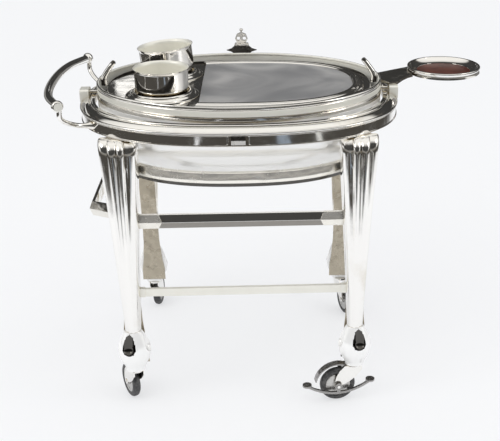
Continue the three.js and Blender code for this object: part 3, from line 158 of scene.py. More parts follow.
world = bpy.data.worlds.new("studio")
bpy.context.scene.world = world
world.use_nodes = True
tree = world.node_tree
direction = add_node(tree, "ShaderNodeTexCoord")
axes = add_node(tree, "ShaderNodeSeparateXYZ")
tree.links.new(direction.outputs["Generated"], axes.inputs[0])
wobble = add_node(tree, "ShaderNodeTexNoise", Scale=1.8, Detail=2.0, Roughness=0.5)
tree.links.new(direction.outputs["Generated"], wobble.inputs["Vector"])
things = add_node(tree, "ShaderNodeTexNoise", Scale=4.5, Detail=3.0, Roughness=0.55)
tree.links.new(direction.outputs["Generated"], things.inputs["Vector"])
overhead = maths(tree, "ARCTAN2", axes.outputs[2], axes.outputs[1])
overhead = maths(tree, "DIVIDE", overhead, math.pi)
bend = maths(tree, "MULTIPLY", maths(tree, "SUBTRACT", wobble.outputs[0], 0.5), 0.1)
bands = tree.nodes.new("ShaderNodeValToRGB")
tree.links.new(maths(tree, "ADD", overhead, bend), bands.inputs[0])
for place, gray in ROOM_BANDS:
    stop = bands.color_ramp.elements.new(place) if place else bands.color_ramp.elements[0]
    stop.color = (gray, gray * 0.985, gray * 0.95, 1)
bands.color_ramp.elements[-1].color = BY_CAMERA
clutter = mix_colors(tree, ramp(tree, things.outputs[0], 0.54, 0.68), (0, 0, 0, 1), ROOM_THINGS)
room = mix_colors(tree, 1.0, bands.outputs[0], clutter, "LIGHTEN")
side_walls = ramp(tree, maths(tree, "ABSOLUTE", axes.outputs[0]), 0.86, 0.97)
room = mix_colors(tree, side_walls, room, ROOM_SIDES)
path = add_node(tree, "ShaderNodeLightPath")
ambient = mix_colors(tree, path.outputs["Is Glossy Ray"], AMBIENT, room)
ambient = mix_colors(tree, path.outputs["Is Camera Ray"], ambient, BACKDROP)
tree.links.new(ambient, tree.nodes["Background"].inputs["Color"])
tree.nodes["Background"].inputs["Strength"].default_value = 1


def add_lamp(name, kind, location, target, power):
    """A lamp aimed at a point."""
    data = bpy.data.lights.new(name, kind)
    data.energy = power
    data.color = DAYLIGHT
    lamp = bpy.data.objects.new(name, data)
    lamp.location = location
    lamp.rotation_euler = (Vector(target) - Vector(location)).to_track_quat("-Z", "Y").to_euler()
    bpy.context.scene.collection.objects.link(lamp)
    return lamp


for name, location, power in (("day_left", (-1.5, -1.7, 3), 0.55),
                              ("day_right", (1.9, -0.4, 2.8), 0.34)):
    day = add_lamp(name, "SUN", location, (0, 0, 0), power)
    day.data.angle = math.radians(60)
    day.visible_glossy = False
for name, location, target, size, power in (
    ("left_box", (-2.6, -1.6, 2.5), (0, 0, 0.5), (1.2, 1.2), 13),
    ("right_box", (2.8, -1.2, 2.3), (0, 0, 0.5), (0.9, 1.4), 9),
    ("far_box", (-0.76, 2.9, 1.68), (-0.3, 0, 0.85), (0.22, 0.12), 0.09),
):
    box = add_lamp(name, "AREA", location, target, power)
    box.data.shape = "RECTANGLE"
    box.data.size, box.data.size_y = size

# ---- Silver plate ----
# Hand-raised, polished plate: its sheet ripples a little, it is hazed here and there by
# wiping, and tarnish stays in the joints.


def new_group(name, outputs, inputs=()):
    """An empty shader node group with its sockets."""
    group = bpy.data.node_groups.new(name, "ShaderNodeTree")
    for label, kind in outputs:
        group.interface.new_socket(label, in_out="OUTPUT", socket_type=kind)
    for label, value in inputs:
        socket = group.interface.new_socket(label, in_out="INPUT", socket_type="NodeSocketFloat")
        socket.default_value = value
    return group, group.nodes.new("NodeGroupInput"), group.nodes.new("NodeGroupOutput")


plate_group, given, result = new_group(
    "plated_metal",
    [("Tarnish", "NodeSocketFloat"), ("Haze", "NodeSocketFloat"), ("Normal", "NodeSocketVector")],
    [("Ripple", 0.35), ("Ripple Scale", 16.0), ("Crevice", 0.02)],
)
tree = plate_group
where = add_node(tree, "ShaderNodeTexCoord").outputs["Object"]
cloud = add_node(tree, "ShaderNodeTexNoise", Scale=6.0, Detail=5.0, Roughness=0.62)
tree.links.new(where, cloud.inputs["Vector"])
wipe = add_node(tree, "ShaderNodeTexNoise", Scale=26.0, Detail=4.0, Roughness=0.6, Distortion=0.6)
tree.links.new(where, wipe.inputs["Vector"])
tree.links.new(ramp(tree, wipe.outputs[0], 0.35, 0.8), result.inputs["Haze"])
joint = add_node(tree, "ShaderNodeAmbientOcclusion", samples=6)
tree.links.new(given.outputs["Crevice"], joint.inputs["Distance"])
crevice = ramp(tree, joint.outputs["AO"], 0.35, 0.85, 0.75, 0)
patch = ramp(tree, cloud.outputs[0], 0.52, 0.78, 0, 0.5)
tree.links.new(maths(tree, "MAXIMUM", crevice, patch), result.inputs["Tarnish"])
wave = add_node(tree, "ShaderNodeTexNoise", Detail=1.0, Roughness=0.4)
tree.links.new(where, wave.inputs["Vector"])
tree.links.new(given.outputs["Ripple Scale"], wave.inputs["Scale"])
scratch = add_node(tree, "ShaderNodeTexNoise", Scale=420.0, Detail=2.0, Roughness=0.5)
tree.links.new(where, scratch.inputs["Vector"])
ripple = add_node(tree, "ShaderNodeBump", Distance=0.004)
tree.links.new(given.outputs["Ripple"], ripple.inputs["Strength"])
tree.links.new(wave.outputs[0], ripple.inputs["Height"])
grain = add_node(tree, "ShaderNodeBump", Strength=0.05, Distance=0.0004)
tree.links.new(scratch.outputs[0], grain.inputs["Height"])
tree.links.new(ripple.outputs[0], grain.inputs["Normal"])
tree.links.new(grain.outputs[0], result.inputs["Normal"])


def plated(name, clean, tarnished, polish, haze, ripple, ripple_scale=16.0, crevice=0.02, metal=1.0):
    """A metal whose colour goes from clean to tarnished, and its roughness from polish to haze."""
    material = bpy.data.materials.new(name)
    material.use_nodes = True
    tree = material.node_tree
    shader = tree.nodes["Principled BSDF"]
    shader.inputs["Metallic"].default_value = metal
    surface = tree.nodes.new("ShaderNodeGroup")
    surface.node_tree = plate_group
    surface.inputs["Ripple"].default_value = ripple
    surface.inputs["Ripple Scale"].default_value = ripple_scale
    surface.inputs["Crevice"].default_value = crevice
    color = mix_colors(tree, surface.outputs["Tarnish"], clean, tarnished)
    tree.links.new(color, shader.inputs["Base Color"])
    tree.links.new(ramp(tree, surface.outputs["Haze"], 0, 1, polish, haze), shader.inputs["Roughness"])
    tree.links.new(surface.outputs["Normal"], shader.inputs["Normal"])
    return material


CLEAN_SILVER = (0.95, 0.935, 0.905, 1)
YELLOW_TARNISH = (0.62, 0.55, 0.42, 1)
silver = plated("silver_plate", CLEAN_SILVER, YELLOW_TARNISH, 0.045, 0.13, 0.12)
leg_silver = plated("leg_silver", CLEAN_SILVER, YELLOW_TARNISH, 0.06, 0.16, 0.1)
dome_silver = plated("dome_silver", CLEAN_SILVER, YELLOW_TARNISH, 0.07, 0.14, 0.1, 7.0)
basin_silver = plated("basin_silver", (0.97, 0.965, 0.95, 1), (0.93, 0.91, 0.87, 1),
                      0.14, 0.22, 0.06, 7.0, metal=0.5)
bulb_silver = plated("bulb_silver", (0.95, 0.945, 0.93, 1), (0.9, 0.88, 0.84, 1),
                     0.14, 0.22, 0.06, 7.0, metal=0.2)
dull_silver = plated("dull_silver", (0.52, 0.465, 0.37, 1), (0.16, 0.13, 0.085, 1),
                     0.26, 0.44, 0.9, 38.0)
# A pale cream, half-matt silver: a painted reflection of the pale room, for the dome's band, the pivot
# blocks, the bottom bar, the cups' insides and the grip's ends.
cream_reflection_silver = plated("cream_reflection_silver", (0.86, 0.845, 0.77, 1), (0.74, 0.7, 0.58, 1),
                      0.36, 0.5, 0.1, metal=0.4)
# A dull grey silver: painted shade on the straight rails' lower facets.
shaded_silver = plated("shaded_silver", (0.3, 0.285, 0.26, 1), (0.16, 0.145, 0.12, 1), 0.1, 0.2, 0.1)
# A near-black silver: painted shade on the hoops' lower edges and a painted dark reflection in one
# scoop of each bulb; it also darkens the horns' tips.
dark_silver = plated("dark_silver", (0.1, 0.095, 0.088, 1), (0.05, 0.046, 0.04, 1), 0.08, 0.2, 0.1)
hazed_silver = plated("hazed_silver", (0.93, 0.9, 0.83, 1), (0.1, 0.085, 0.055, 1),
                      0.16, 0.34, 1.0, 20.0, metal=0.75)
worn_silver = plated("worn_silver", (0.84, 0.815, 0.76, 1), (0.34, 0.29, 0.21, 1),
                     0.07, 0.26, 0.7, 30.0)


def repaint(material, mask_of, color):
    """Mixes another colour into a metal, by a mask made in its own node tree."""
    tree = material.node_tree
    base = tree.nodes["Principled BSDF"].inputs["Base Color"]
    plain = base.links[0].from_socket
    tree.links.new(mix_colors(tree, mask_of(tree), plain, color), base)


def above(low, high, to_low=0, to_high=1):
    """A mask over a piece's height, in metres."""
    def mask_of(tree):
        height = add_node(tree, "ShaderNodeSeparateXYZ")
        tree.links.new(add_node(tree, "ShaderNodeTexCoord").outputs["Object"], height.inputs[0])
        return ramp(tree, height.outputs[2], low, high, to_low, to_high)
    return mask_of


def in_mirrors(tree):
    """A mask of what other shiny surfaces see."""
    return add_node(tree, "ShaderNodeLightPath").outputs["Is Glossy Ray"]


# The cover's inner wall is a pale cream painted reflection, lightened against its shade; other shiny
# surfaces see it painted dark.
wall_silver = plated("wall_silver", (0.97, 0.955, 0.87, 1), (0.86, 0.82, 0.7, 1),
                     0.36, 0.5, 0.1, metal=0.2)
repaint(wall_silver, in_mirrors, (0.06, 0.055, 0.048, 1))

# ---- Oval frame: moulding, skirt, panels and latch plate ----
# The top's ovals are one family, each a constant inset from the outer edge, in millimetres
# about the frame's own middle. A broad swell between two beads leads up to the flat lip.
frame_low, frame_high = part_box("top_moulding")
MIDDLE = [(frame_low[i] + frame_high[i]) / 2 for i in (0, 1)]
HALF_LENGTH, HALF_DEPTH, OVAL_POWER = 433, 329, 2 / 2.4
OVAL_COUNT = 224


def row(point):
    """Millimetres about the frame's middle, turned into metres in the shared frame."""
    return (point[0] / 1000 + MIDDLE[0], point[1] / 1000 + MIDDLE[1], point[2] / 1000)


def mix(first, second, share):
    """A number part of the way from one to another."""
    return first + (second - first) * share


def signed_power(value, power):
    """A power that keeps the value's sign."""
    return math.copysign(abs(value) ** power, value)


def on_oval(inset, angle, z):
    """A point on an oval of the family."""
    x = (HALF_LENGTH - inset) * signed_power(math.cos(angle), OVAL_POWER)
    return (x, (HALF_DEPTH - inset) * signed_power(math.sin(angle), OVAL_POWER), z)


def skin(name, rings, loop=False, caps=True, sharp=32, place=None):
    """A smooth mesh through rings of points, as a loop or with its ends closed."""
    count = len(rings[0])
    points = [place @ Vector(p) if place else p for ring in rings for p in ring]
    faces = []
    for i in range(len(rings) if loop else len(rings) - 1):
        after = (i + 1) % len(rings)
        for j in range(count):
            k = (j + 1) % count
            faces.append((i * count + j, i * count + k, after * count + k, after * count + j))
    if caps and not loop:
        faces += [tuple(reversed(range(count))), tuple(range(len(points) - count, len(points)))]
    mesh = bpy.data.meshes.new(name)
    mesh.from_pydata([row(p) for p in points], [], faces)
    body = bmesh.new()
    body.from_mesh(mesh)
    bmesh.ops.remove_doubles(body, verts=body.verts, dist=1e-6)
    bmesh.ops.recalc_face_normals(body, faces=body.faces)
    body.to_mesh(mesh)
    body.free()
    mesh.shade_smooth()
    mesh.set_sharp_from_angle(angle=math.radians(sharp))
    piece = bpy.data.objects.new(name, mesh)
    bpy.context.scene.collection.objects.link(piece)
    return piece


def arc(x, z, radius, start, end, steps):
    """Points of an arc in a profile, between two angles in degrees."""
    angles = [math.radians(mix(start, end, i / steps)) for i in range(steps + 1)]
    return [(x + radius * math.cos(a), z + radius * math.sin(a)) for a in angles]


def oval_ring(name, profile, sharp=32):
    """A closed profile of [inset, height] swept round the oval."""
    angles = [2 * math.pi * i / OVAL_COUNT for i in range(OVAL_COUNT)]
    rings = [[on_oval(inset, a, z) for inset, z in profile] for a in angles]
    return skin(name, rings, loop=True, sharp=sharp)


def dress(piece, body, nodes, material):
    """The piece stands for its nodes, rides with their body and takes its material."""
    piece.data.materials.clear()
    piece.data.materials.append(material)
    weights = piece.modifiers.new("flat_faces", "WEIGHTED_NORMAL")
    weights.keep_sharp = True
    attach(piece, body)
    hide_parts(*nodes)


def soften(node, material, width=0.0006, segments=2, angle=30):
    """A CAD node keeps its shape and gets a material and eased edges."""
    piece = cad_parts[node]
    piece.data.materials.clear()
    piece.data.materials.append(material)
    bevel = piece.modifiers.new("eased_edges", "BEVEL")
    bevel.width = width
    bevel.segments = segments
    bevel.limit_method = "ANGLE"
    bevel.angle_limit = math.radians(angle)
    bevel.harden_normals = True


moulding_z = frame_low[2] * 1000
bead = 3
profile = arc(bead, bead, bead, 270, 80, 9) + [(4.6, 5.3), (5.4, 5.6)]
profile += [(mix(6, 24, i / 10), mix(6.6, 14.6, i / 10) + 3.2 * math.sin(math.pi * i / 10))
            for i in range(11)]
profile += [(25, 13.9), (26, 14.2)] + arc(29.4, 15, 2.9, 165, 60, 6)
profile += [(33, 17), (39.4, 17.4), (40, 16.8), (40, 0)]
moulding = oval_ring("oval_moulding", [(inset, moulding_z + z) for inset, z in profile], 50)
dress(moulding, "frame", ["top_moulding"], silver)

skirt_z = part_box("skirt_band")[0][2] * 1000
profile = [(11, 0)] + arc(2.6, 1, 1, 270, 90, 6) + [(5, 2.1), (5, 27.9)] + arc(2.6, 29, 1, 270, 90, 6)
profile += [(38, 30), (38, 26), (11, 26)]
skirt = oval_ring("oval_skirt", [(inset, skirt_z + z) for inset, z in profile])
dress(skirt, "frame", ["skirt_band"], silver)


def angle_at(inset, x):
    """The angle at which an oval is x along, measured from its +X end."""
    return math.acos((x / (HALF_LENGTH - inset)) ** (1 / OVAL_POWER))


SKIRT_TALL, PANEL_MARGIN, PANEL_START, PANEL_CORNER = 30, 2.1, 24, 9
PANEL_BACK, PANEL_FACE, PANEL_BEAD, PANEL_STEPS = 4.7, 3.6, 3.6, 130
for side, label in ((-1, "left"), (1, "right")):
    last = angle_at(PANEL_BACK, PANEL_START)
    rings = []
    for i in range(-PANEL_STEPS, PANEL_STEPS + 1):
        share = i / PANEL_STEPS
        angle = last * math.copysign(1 - (1 - abs(share)) ** 1.7, share)
        from_end = abs(on_oval(PANEL_BACK, angle, 0)[0]) - PANEL_START
        short = max(0, PANEL_CORNER - from_end)
        lift = PANEL_CORNER - math.sqrt(max(0, PANEL_CORNER ** 2 - short ** 2))
        end_bead = 1.3 * math.sin(math.pi * from_end / PANEL_BEAD) if from_end < PANEL_BEAD else 0
        face = PANEL_FACE - end_bead
        shoulder = min(3.1, face)
        facing = angle if side > 0 else math.pi - angle
        low, tall = skirt_z + PANEL_MARGIN + lift, skirt_z + SKIRT_TALL - PANEL_MARGIN
        section = [(PANEL_BACK, low), (3.1, low), (2.3, low + 0.6), (2.3, low + 1.2),
                   (shoulder, low + 1.8), (face, low + 2.2), (face, low + 2.8),
                   (face, tall - 2.2), (face, tall - 1.6), (shoulder, tall - 1.2),
                   (2.3, tall - 0.8), (2.3, tall - 0.4), (3.1, tall), (PANEL_BACK, tall)]
        rings.append([on_oval(inset, facing, z) for inset, z in section])
    panel = skin(f"polished_panel_{label}", rings, sharp=50)
    dress(panel, "frame", [f"skirt_panel_{label}"], silver)
latch_silver = plated("latch_silver", CLEAN_SILVER, YELLOW_TARNISH, 0.25, 0.4, 0.1, metal=0.6)
slot_z = skirt_z + SKIRT_TALL / 2
repaint(latch_silver, above(slot_z / 1000, (slot_z + 1) / 1000), (0.04, 0.036, 0.03, 1))
soften("latch_plate", latch_silver)

# ---- Pivot blocks and pins ----
# The cover turns on a steel pin through a block at each end of the frame.
# The pivot blocks take the pale cream painted reflection.
for label in ("left", "right"):
    soften(f"pivot_block_{label}", cream_reflection_silver, 0.0015, 3)
    soften(f"pivot_pin_{label}", silver, 0.0005)

# ---- Domed cover ----
# An egg that clears the frame as it turns: oval along the trolley and a flattened circle
# across, with a stepped band and a rolled bead at the rim, and a boss round each pin.
PIVOT_Z, DOME_INSET, DOME_DEPTH, RIM_RISE, DOME_WALL = 827.2, 44, 264, 34, 2.4
BAND_LOW, BAND_HIGH, BASIN_TOP, WALL_LOW = 8, 22.7, -7, -60
DOME_LEVELS, DOME_STEPS, BOSS_STEPS = 30, 160, 40


def egg_reach(angle, depth):
    """How far out the egg's skin is at a plan angle and a share of its depth."""
    near, far = 0, 1
    for _ in range(36):
        reach = (near + far) / 2
        room = max(0, 1 - (reach * abs(math.cos(angle))) ** 2.4) ** OVAL_POWER
        if (reach * math.sin(angle)) ** 2 + depth ** 2 < room:
            near = reach
        else:
            far = reach
    return near


def on_egg(shrink, angle, rise):
    """A point of a skin parallel to the egg, at a height above the pivot."""
    reach = egg_reach(angle, -rise / (DOME_DEPTH - shrink))
    x = (HALF_LENGTH - DOME_INSET - shrink) * reach * math.cos(angle)
    return (x, (HALF_DEPTH - DOME_INSET - shrink) * reach * math.sin(angle), PIVOT_Z + rise)


outer, inner = [], []
for rows, shrink, top in ((outer, 0.6, -8), (inner, 0.6 + DOME_WALL, RIM_RISE - 7)):
    depth = DOME_DEPTH - shrink
    full = math.acos(-top / depth)
    rows += [(shrink, -depth * math.cos(full * i / DOME_LEVELS)) for i in range(DOME_LEVELS + 1)]
rim = [(0.2, -7), (0, -5.6), (-0.1, 4), (0.4, 5.2), (1.6, 5.8), (1.8, 6.6), (1, 7.2),
       (0.9, 8), (0.5, 22.6), (1.4, 23.6), (1.6, 24.6), (0.6, 25.4), (0.1, 27), (-0.1, 30),
       (0.6, 32.8), (2.2, 34), (4.6, 34), (6.4, 33), (7, 31), (6.6, 28.6), (5, 27.2)]
rings = []
for shrink, rise in outer + rim + inner[::-1]:
    rings.append([on_egg(shrink, 2 * math.pi * j / DOME_STEPS, rise) for j in range(DOME_STEPS)])
dome = skin("domed_cover", rings, sharp=40)
bosses = []
for side in (-1, 1):
    circle = [2 * math.pi * j / BOSS_STEPS for j in range(BOSS_STEPS)]
    rings = [[(side * x, r * math.cos(a), PIVOT_Z + r * math.sin(a)) for a in circle]
             for x, r in ((386, 13), (381, 13), (380, 12), (380, 6))]
    bosses.append(skin(f"boss_{side}", rings, caps=False))
with bpy.context.temp_override(active_object=dome, selected_editable_objects=[dome, *bosses]):
    bpy.ops.object.join()
dress(dome, "dome", ["dome_shell"], dome_silver)
# The band at the rim takes the pale cream painted reflection.
for metal in (cream_reflection_silver, wall_silver, basin_silver):
    dome.data.materials.append(metal)
for face in dome.data.polygons:
    rise = face.center.z * 1000 - PIVOT_Z
    out_x, out_y = (face.center[i] - MIDDLE[i] for i in (0, 1))
    inward = out_x * face.normal.x + out_y * face.normal.y < 0
    band = 1 if BAND_LOW < rise < BAND_HIGH else 3 if rise < BASIN_TOP else 0
    face.material_index = 2 if inward and rise > WALL_LOW else band

handle_silver = plated("handle_silver", (0.92, 0.9, 0.86, 1), YELLOW_TARNISH,
                       0.08, 0.2, 0.5, 60.0, metal=0.75)
# The handle's lower part, up to about 44 mm over its foot, is painted dark, a painted dark reflection.
handle_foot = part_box("dome_handle")[0][2]
repaint(handle_silver, above(handle_foot + 0.044, handle_foot + 0.05, 1, 0), (0.09, 0.085, 0.08, 1))
soften("dome_handle", handle_silver, 0.0012, 3)


def lathe(name, profile, steps=96, place=None, sharp=32):
    """A turned piece: profile points are [radius, height], open at the axis."""
    circle = [2 * math.pi * j / steps for j in range(steps)]
    rings = [[(r * math.cos(a), r * math.sin(a), z) for a in circle] for r, z in profile]
    return skin(name, rings, loop=profile[0] == profile[-1], sharp=sharp, place=place)


knob_low, knob_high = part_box("dome_knob")
knob_radius = (knob_high[2] - knob_low[2]) * 500
knob_at = [((knob_low[i] + knob_high[i]) / 2 - (MIDDLE[i] if i < 2 else 0)) * 1000 for i in range(3)]
profile = arc(0, 0, knob_radius * 0.98, -89, 89, 16)
knob = lathe("ball_finial", profile, 32, Matrix.Translation(knob_at))
dress(knob, "dome", ["dome_knob"], silver)

# ---- Tray: deck, pan, carving plate and its surround ----
# A polished deck over a dull pan, and a worn carving plate in a stepped border. Plate and
# border are ovals cut straight across before the cups.
DECK_TOP, DECK_SEAT, DECK_INSET = 845.2, 845.5, 74
BORDER_INSET, PLATE_INSET, PLATE_CUT = 124, 124.3, -102


def oval_slab(name, inset, low, high, edge=1.2, start=None):
    """An oval plate with a rounded edge, cut straight across at start."""
    rings = []
    steps = 200
    corner = edge * 0.3
    last = math.pi if start is None else angle_at(inset, abs(start))
    if start is not None and start < 0:
        last = math.pi - last
    angles = [mix(-last, last, i / steps) for i in range(steps + (start is not None))]
    for more, z in ((edge, low), (0, low + edge * 0.7), (0, high - edge),
                    (corner, high - corner), (edge, high)):
        ring = [on_oval(inset + more, a, z) for a in angles]
        rings.append([(max(x, start) if start is not None else x, y, z) for x, y, z in ring])
    return skin(name, rings, sharp=40)


deck = oval_slab("polished_deck", DECK_INSET, DECK_TOP - 4, DECK_TOP)
dress(deck, "frame", ["tray_deck"], silver)
soften("water_pan", dull_silver)
profile = [(92, 0), (92, 1.6), (92.6, 2.3)] + arc(98, -1.2, 5.2, 130, 60, 5) + [(102, 3.8)]
profile += arc(106.5, 3.4, 3.2, 160, 20, 6) + [(111, 5.2), (113, 6.6), (115, 7), (120.4, 7)]
profile += [(121.4, 6.4), (122.6, 4.6), (124, 4), (124, 0)]
last = math.pi - angle_at(BORDER_INSET, -PLATE_CUT)
angles = [mix(-last, last, i / 180) for i in range(181)]
rings = [[on_oval(inset, a, DECK_SEAT + z) for inset, z in profile] for a in angles]
surround = skin("plate_border", rings, sharp=45)
dress(surround, "frame", ["plate_surround"], silver)

plate_material = bpy.data.materials.new("carving_metal")
plate_material.use_nodes = True
tree = plate_material.node_tree
shader = tree.nodes["Principled BSDF"]
shader.inputs["Metallic"].default_value = 0.78
where = add_node(tree, "ShaderNodeTexCoord").outputs["Object"]
swirl = add_node(tree, "ShaderNodeTexNoise", Scale=3.4, Detail=3.0, Roughness=0.4, Distortion=2.2)
tree.links.new(where, swirl.inputs["Vector"])
fine = add_node(tree, "ShaderNodeTexNoise", Scale=60.0, Detail=3.0, Roughness=0.6)
tree.links.new(where, fine.inputs["Vector"])
swirled = ramp(tree, swirl.outputs[0], 0.25, 0.8)
gray = mix_colors(tree, swirled, (0.62, 0.625, 0.64, 1), (0.93, 0.92, 0.91, 1))
tree.links.new(gray, shader.inputs["Base Color"])
tree.links.new(ramp(tree, swirl.outputs[0], 0.2, 0.8, 0.34, 0.52), shader.inputs["Roughness"])
cuts = add_node(tree, "ShaderNodeBump", Strength=0.12, Distance=0.0006)
tree.links.new(fine.outputs[0], cuts.inputs["Height"])
tree.links.new(cuts.outputs[0], shader.inputs["Normal"])
carving = oval_slab("carving_slab", PLATE_INSET, DECK_SEAT, DECK_SEAT + 4, 0.8, PLATE_CUT)
dress(carving, "carving_plate", ["carving_plate"], plate_material)

# ---- Wells, cups and horns ----
# Two beakers with flared lips stand in stepped collars; the rear one is larger and leans.
# A curved horn stands at each end of the tray.
WELL_X, WELL_Y, WELL_GAP = -203, 103, 2
CUP_COLLAR_RADIUS, CUP_BASE_RADIUS, REAR_CUP_SCALE, REAR_CUP_LEAN = 66, 58, 1.05, 5
inner_radius = CUP_COLLAR_RADIUS * REAR_CUP_SCALE + WELL_GAP
profile = [(inner_radius, 0), (97, 0), (97, 1.6), (96.4, 2.4), (93, 3.6), (89, 4.2), (88, 5.6)]
profile += arc(84, 5.2, 3.4, 20, 100, 5) + [(79.6, 8.8), (79, 11)]
profile += arc(75.6, 10.6, 2.6, 20, 100, 4) + [(72.6, 12.6), (inner_radius, 11), (inner_radius, 0)]
cup_profile = [
    (0.05, 0), (57, 0), (60.4, 0.6), (63, 2.1), (64.6, 4.6), (65.2, 8), (65.6, 13.4),
    (67.4, 16.4), (69.2, 20), (70, 24.5), (70.3, 65), (70.7, 68), (72, 71), (73.6, 73.2),
    (74, 73.9), (73.2, 74), (71.4, 72.4), (69.4, 70), (68.2, 67), (67.9, 63), (67.7, 26),
    (66.4, 21), (63.4, 15), (62.6, 10), (60.8, 6), (57, 4.2), (50, 3.5), (0.05, 3.5),
]
for label, side, scale, lean in (("front", -1, 1, 0), ("rear", 1, REAR_CUP_SCALE, REAR_CUP_LEAN)):
    centre = (WELL_X, side * WELL_Y, DECK_SEAT)
    collar = lathe(f"stepped_collar_{label}", profile, 128, Matrix.Translation(centre), 45)
    dress(collar, "frame", [f"well_collar_{label}"], silver)
    lift = CUP_BASE_RADIUS * scale * math.sin(math.radians(lean)) + 0.3 if lean else 0
    tilt = Matrix.Rotation(math.radians(-lean), 4, "Y")
    stand = Matrix.Translation((centre[0], centre[1], DECK_SEAT + lift)) @ tilt
    beaker = lathe(f"beaker_{label}", cup_profile, 128, stand @ Matrix.Scale(scale, 4), 50)
    dress(beaker, f"cup_{label}", [f"cup_{label}"], silver)
    # The cup's inside takes the pale cream painted reflection.
    beaker.data.materials.append(cream_reflection_silver)
    axis_at = Vector(row(centre))
    for face in beaker.data.polygons:
        inward = (face.center - axis_at).xy.dot(face.normal.xy) < 0
        inside = inward or (face.normal.z > 0.8 and face.center.z < axis_at.z + 0.02)
        face.material_index = 1 if inside else 0


def spline(points, count):
    """Evenly spaced points on a centripetal curve through the given ones."""
    points = [Vector(p) for p in points]
    points = [2 * points[0] - points[1], *points, 2 * points[-1] - points[-2]]
    dense = []
    for i in range(1, len(points) - 2):
        p0, p1, p2, p3 = points[i - 1:i + 3]
        t0 = 0
        t1 = t0 + (p1 - p0).length ** 0.5
        t2 = t1 + (p2 - p1).length ** 0.5
        t3 = t2 + (p3 - p2).length ** 0.5
        for k in range(40):
            t = mix(t1, t2, k / 40)
            a1 = p0.lerp(p1, (t - t0) / (t1 - t0))
            a2 = p1.lerp(p2, (t - t1) / (t2 - t1))
            a3 = p2.lerp(p3, (t - t2) / (t3 - t2))
            b1 = a1.lerp(a2, (t - t0) / (t2 - t0))
            b2 = a2.lerp(a3, (t - t1) / (t3 - t1))
            dense.append(b1.lerp(b2, (t - t1) / (t2 - t1)))
    dense.append(points[-2])
    lengths = [0]
    for first, second in zip(dense, dense[1:]):
        lengths.append(lengths[-1] + (second - first).length)
    even, k = [], 0
    for i in range(count + 1):
        goal = lengths[-1] * i / count
        while k < len(dense) - 2 and lengths[k + 1] < goal:
            k += 1
        even.append(dense[k].lerp(dense[k + 1], (goal - lengths[k]) / (lengths[k + 1] - lengths[k])))
    return even


def round_bar(name, points, radius_at, count=64, around=24, side=Vector((0, 0, 1))):
    """A round bar along a curve that keeps roughly square to one direction."""
    path = spline(points, count)
    rings = []
    for i, centre in enumerate(path):
        along = (path[min(i + 1, count)] - path[max(i - 1, 0)]).normalized()
        first = along.cross(side).normalized()
        second = along.cross(first)
        radius = radius_at(i / count)
        rings.append([centre + radius * (math.cos(a) * first + math.sin(a) * second)
                      for a in (2 * math.pi * k / around for k in range(around))])
    return skin(name, rings, sharp=50)


HORN_X, HORN_TALL, HORN_DARK_TIP = 369.4, 66, 6
HORN_FOOT_RADIUS, HORN_TIP_RADIUS, HORN_BLUNT = 8.6, 6.2, 0.06


def horn_radius(t):
    """The horn tapers and ends in a blunt tip."""
    radius = mix(HORN_FOOT_RADIUS, HORN_TIP_RADIUS, t)
    past = max(0, (t - (1 - HORN_BLUNT)) / HORN_BLUNT)
    return radius * math.sqrt(max(0.02, 1 - past ** 2))


for side, label in ((-1, "left"), (1, "right")):
    points = [(side * (HORN_X - lean), 0, DECK_SEAT + HORN_TALL * rise)
              for lean, rise in ((0, 0), (0, 0.3), (16, 0.7), (32, 1))]
    horn = round_bar(f"curved_horn_{label}", points, horn_radius, side=Vector((0, 1, 0)))
    dress(horn, "frame", [f"horn_{label}"], silver)
    horn.data.materials.append(dark_silver)
    for face in horn.data.polygons:
        at_tip = face.center.z > (DECK_SEAT + HORN_TALL - HORN_DARK_TIP) / 1000
        face.material_index = int(at_tip)

# ---- Legs, plates and feet ----
# Each leg is reeded round its outer side and crowned at the top, over a bulb with U-shaped
# scoops. A dull flat plate backs the leg and widens behind the bulb and at the top.
SIDES = (("front_left", -1, -1, 118), ("front_right", 1, -1, 188),
         ("rear_left", -1, 1, 84), ("rear_right", 1, 1, -72))
ANKLE_X, ANKLE_Y, TOP_X, TOP_Y, ANKLE_WIDTH, TOP_WIDTH = 304, 274, 308, 258, 49, 116
FOOT_Z, LEG_Z, LEG_TALL, CROWN_TALL = 110.3, 231.6, 541, 40
BACK_AT_FOOT, BACK_AT_TOP, REACH_AT_FOOT, REACH_AT_TOP = 16, 24, 22, 32
LEG_TOP = LEG_Z + LEG_TALL
LOBE_EDGES, LOBE_STEPS, REEDS = (0, 0.307, 0.478, 0.6275, 1), 12, 3
GROOVE_GIRTH, LOBE_RISE, FADED = 0.84, 0.155, 0.22
BULB_TALL, BULB_RADIUS, BULB_FLATTENING = 121, 45, 0.86
SCOOP, SCOOP_DEPTH, SCOOP_LOW, SCOOP_TURNS = 20, 10, 59, (-80, 15)
PLATE_STEPS = 48


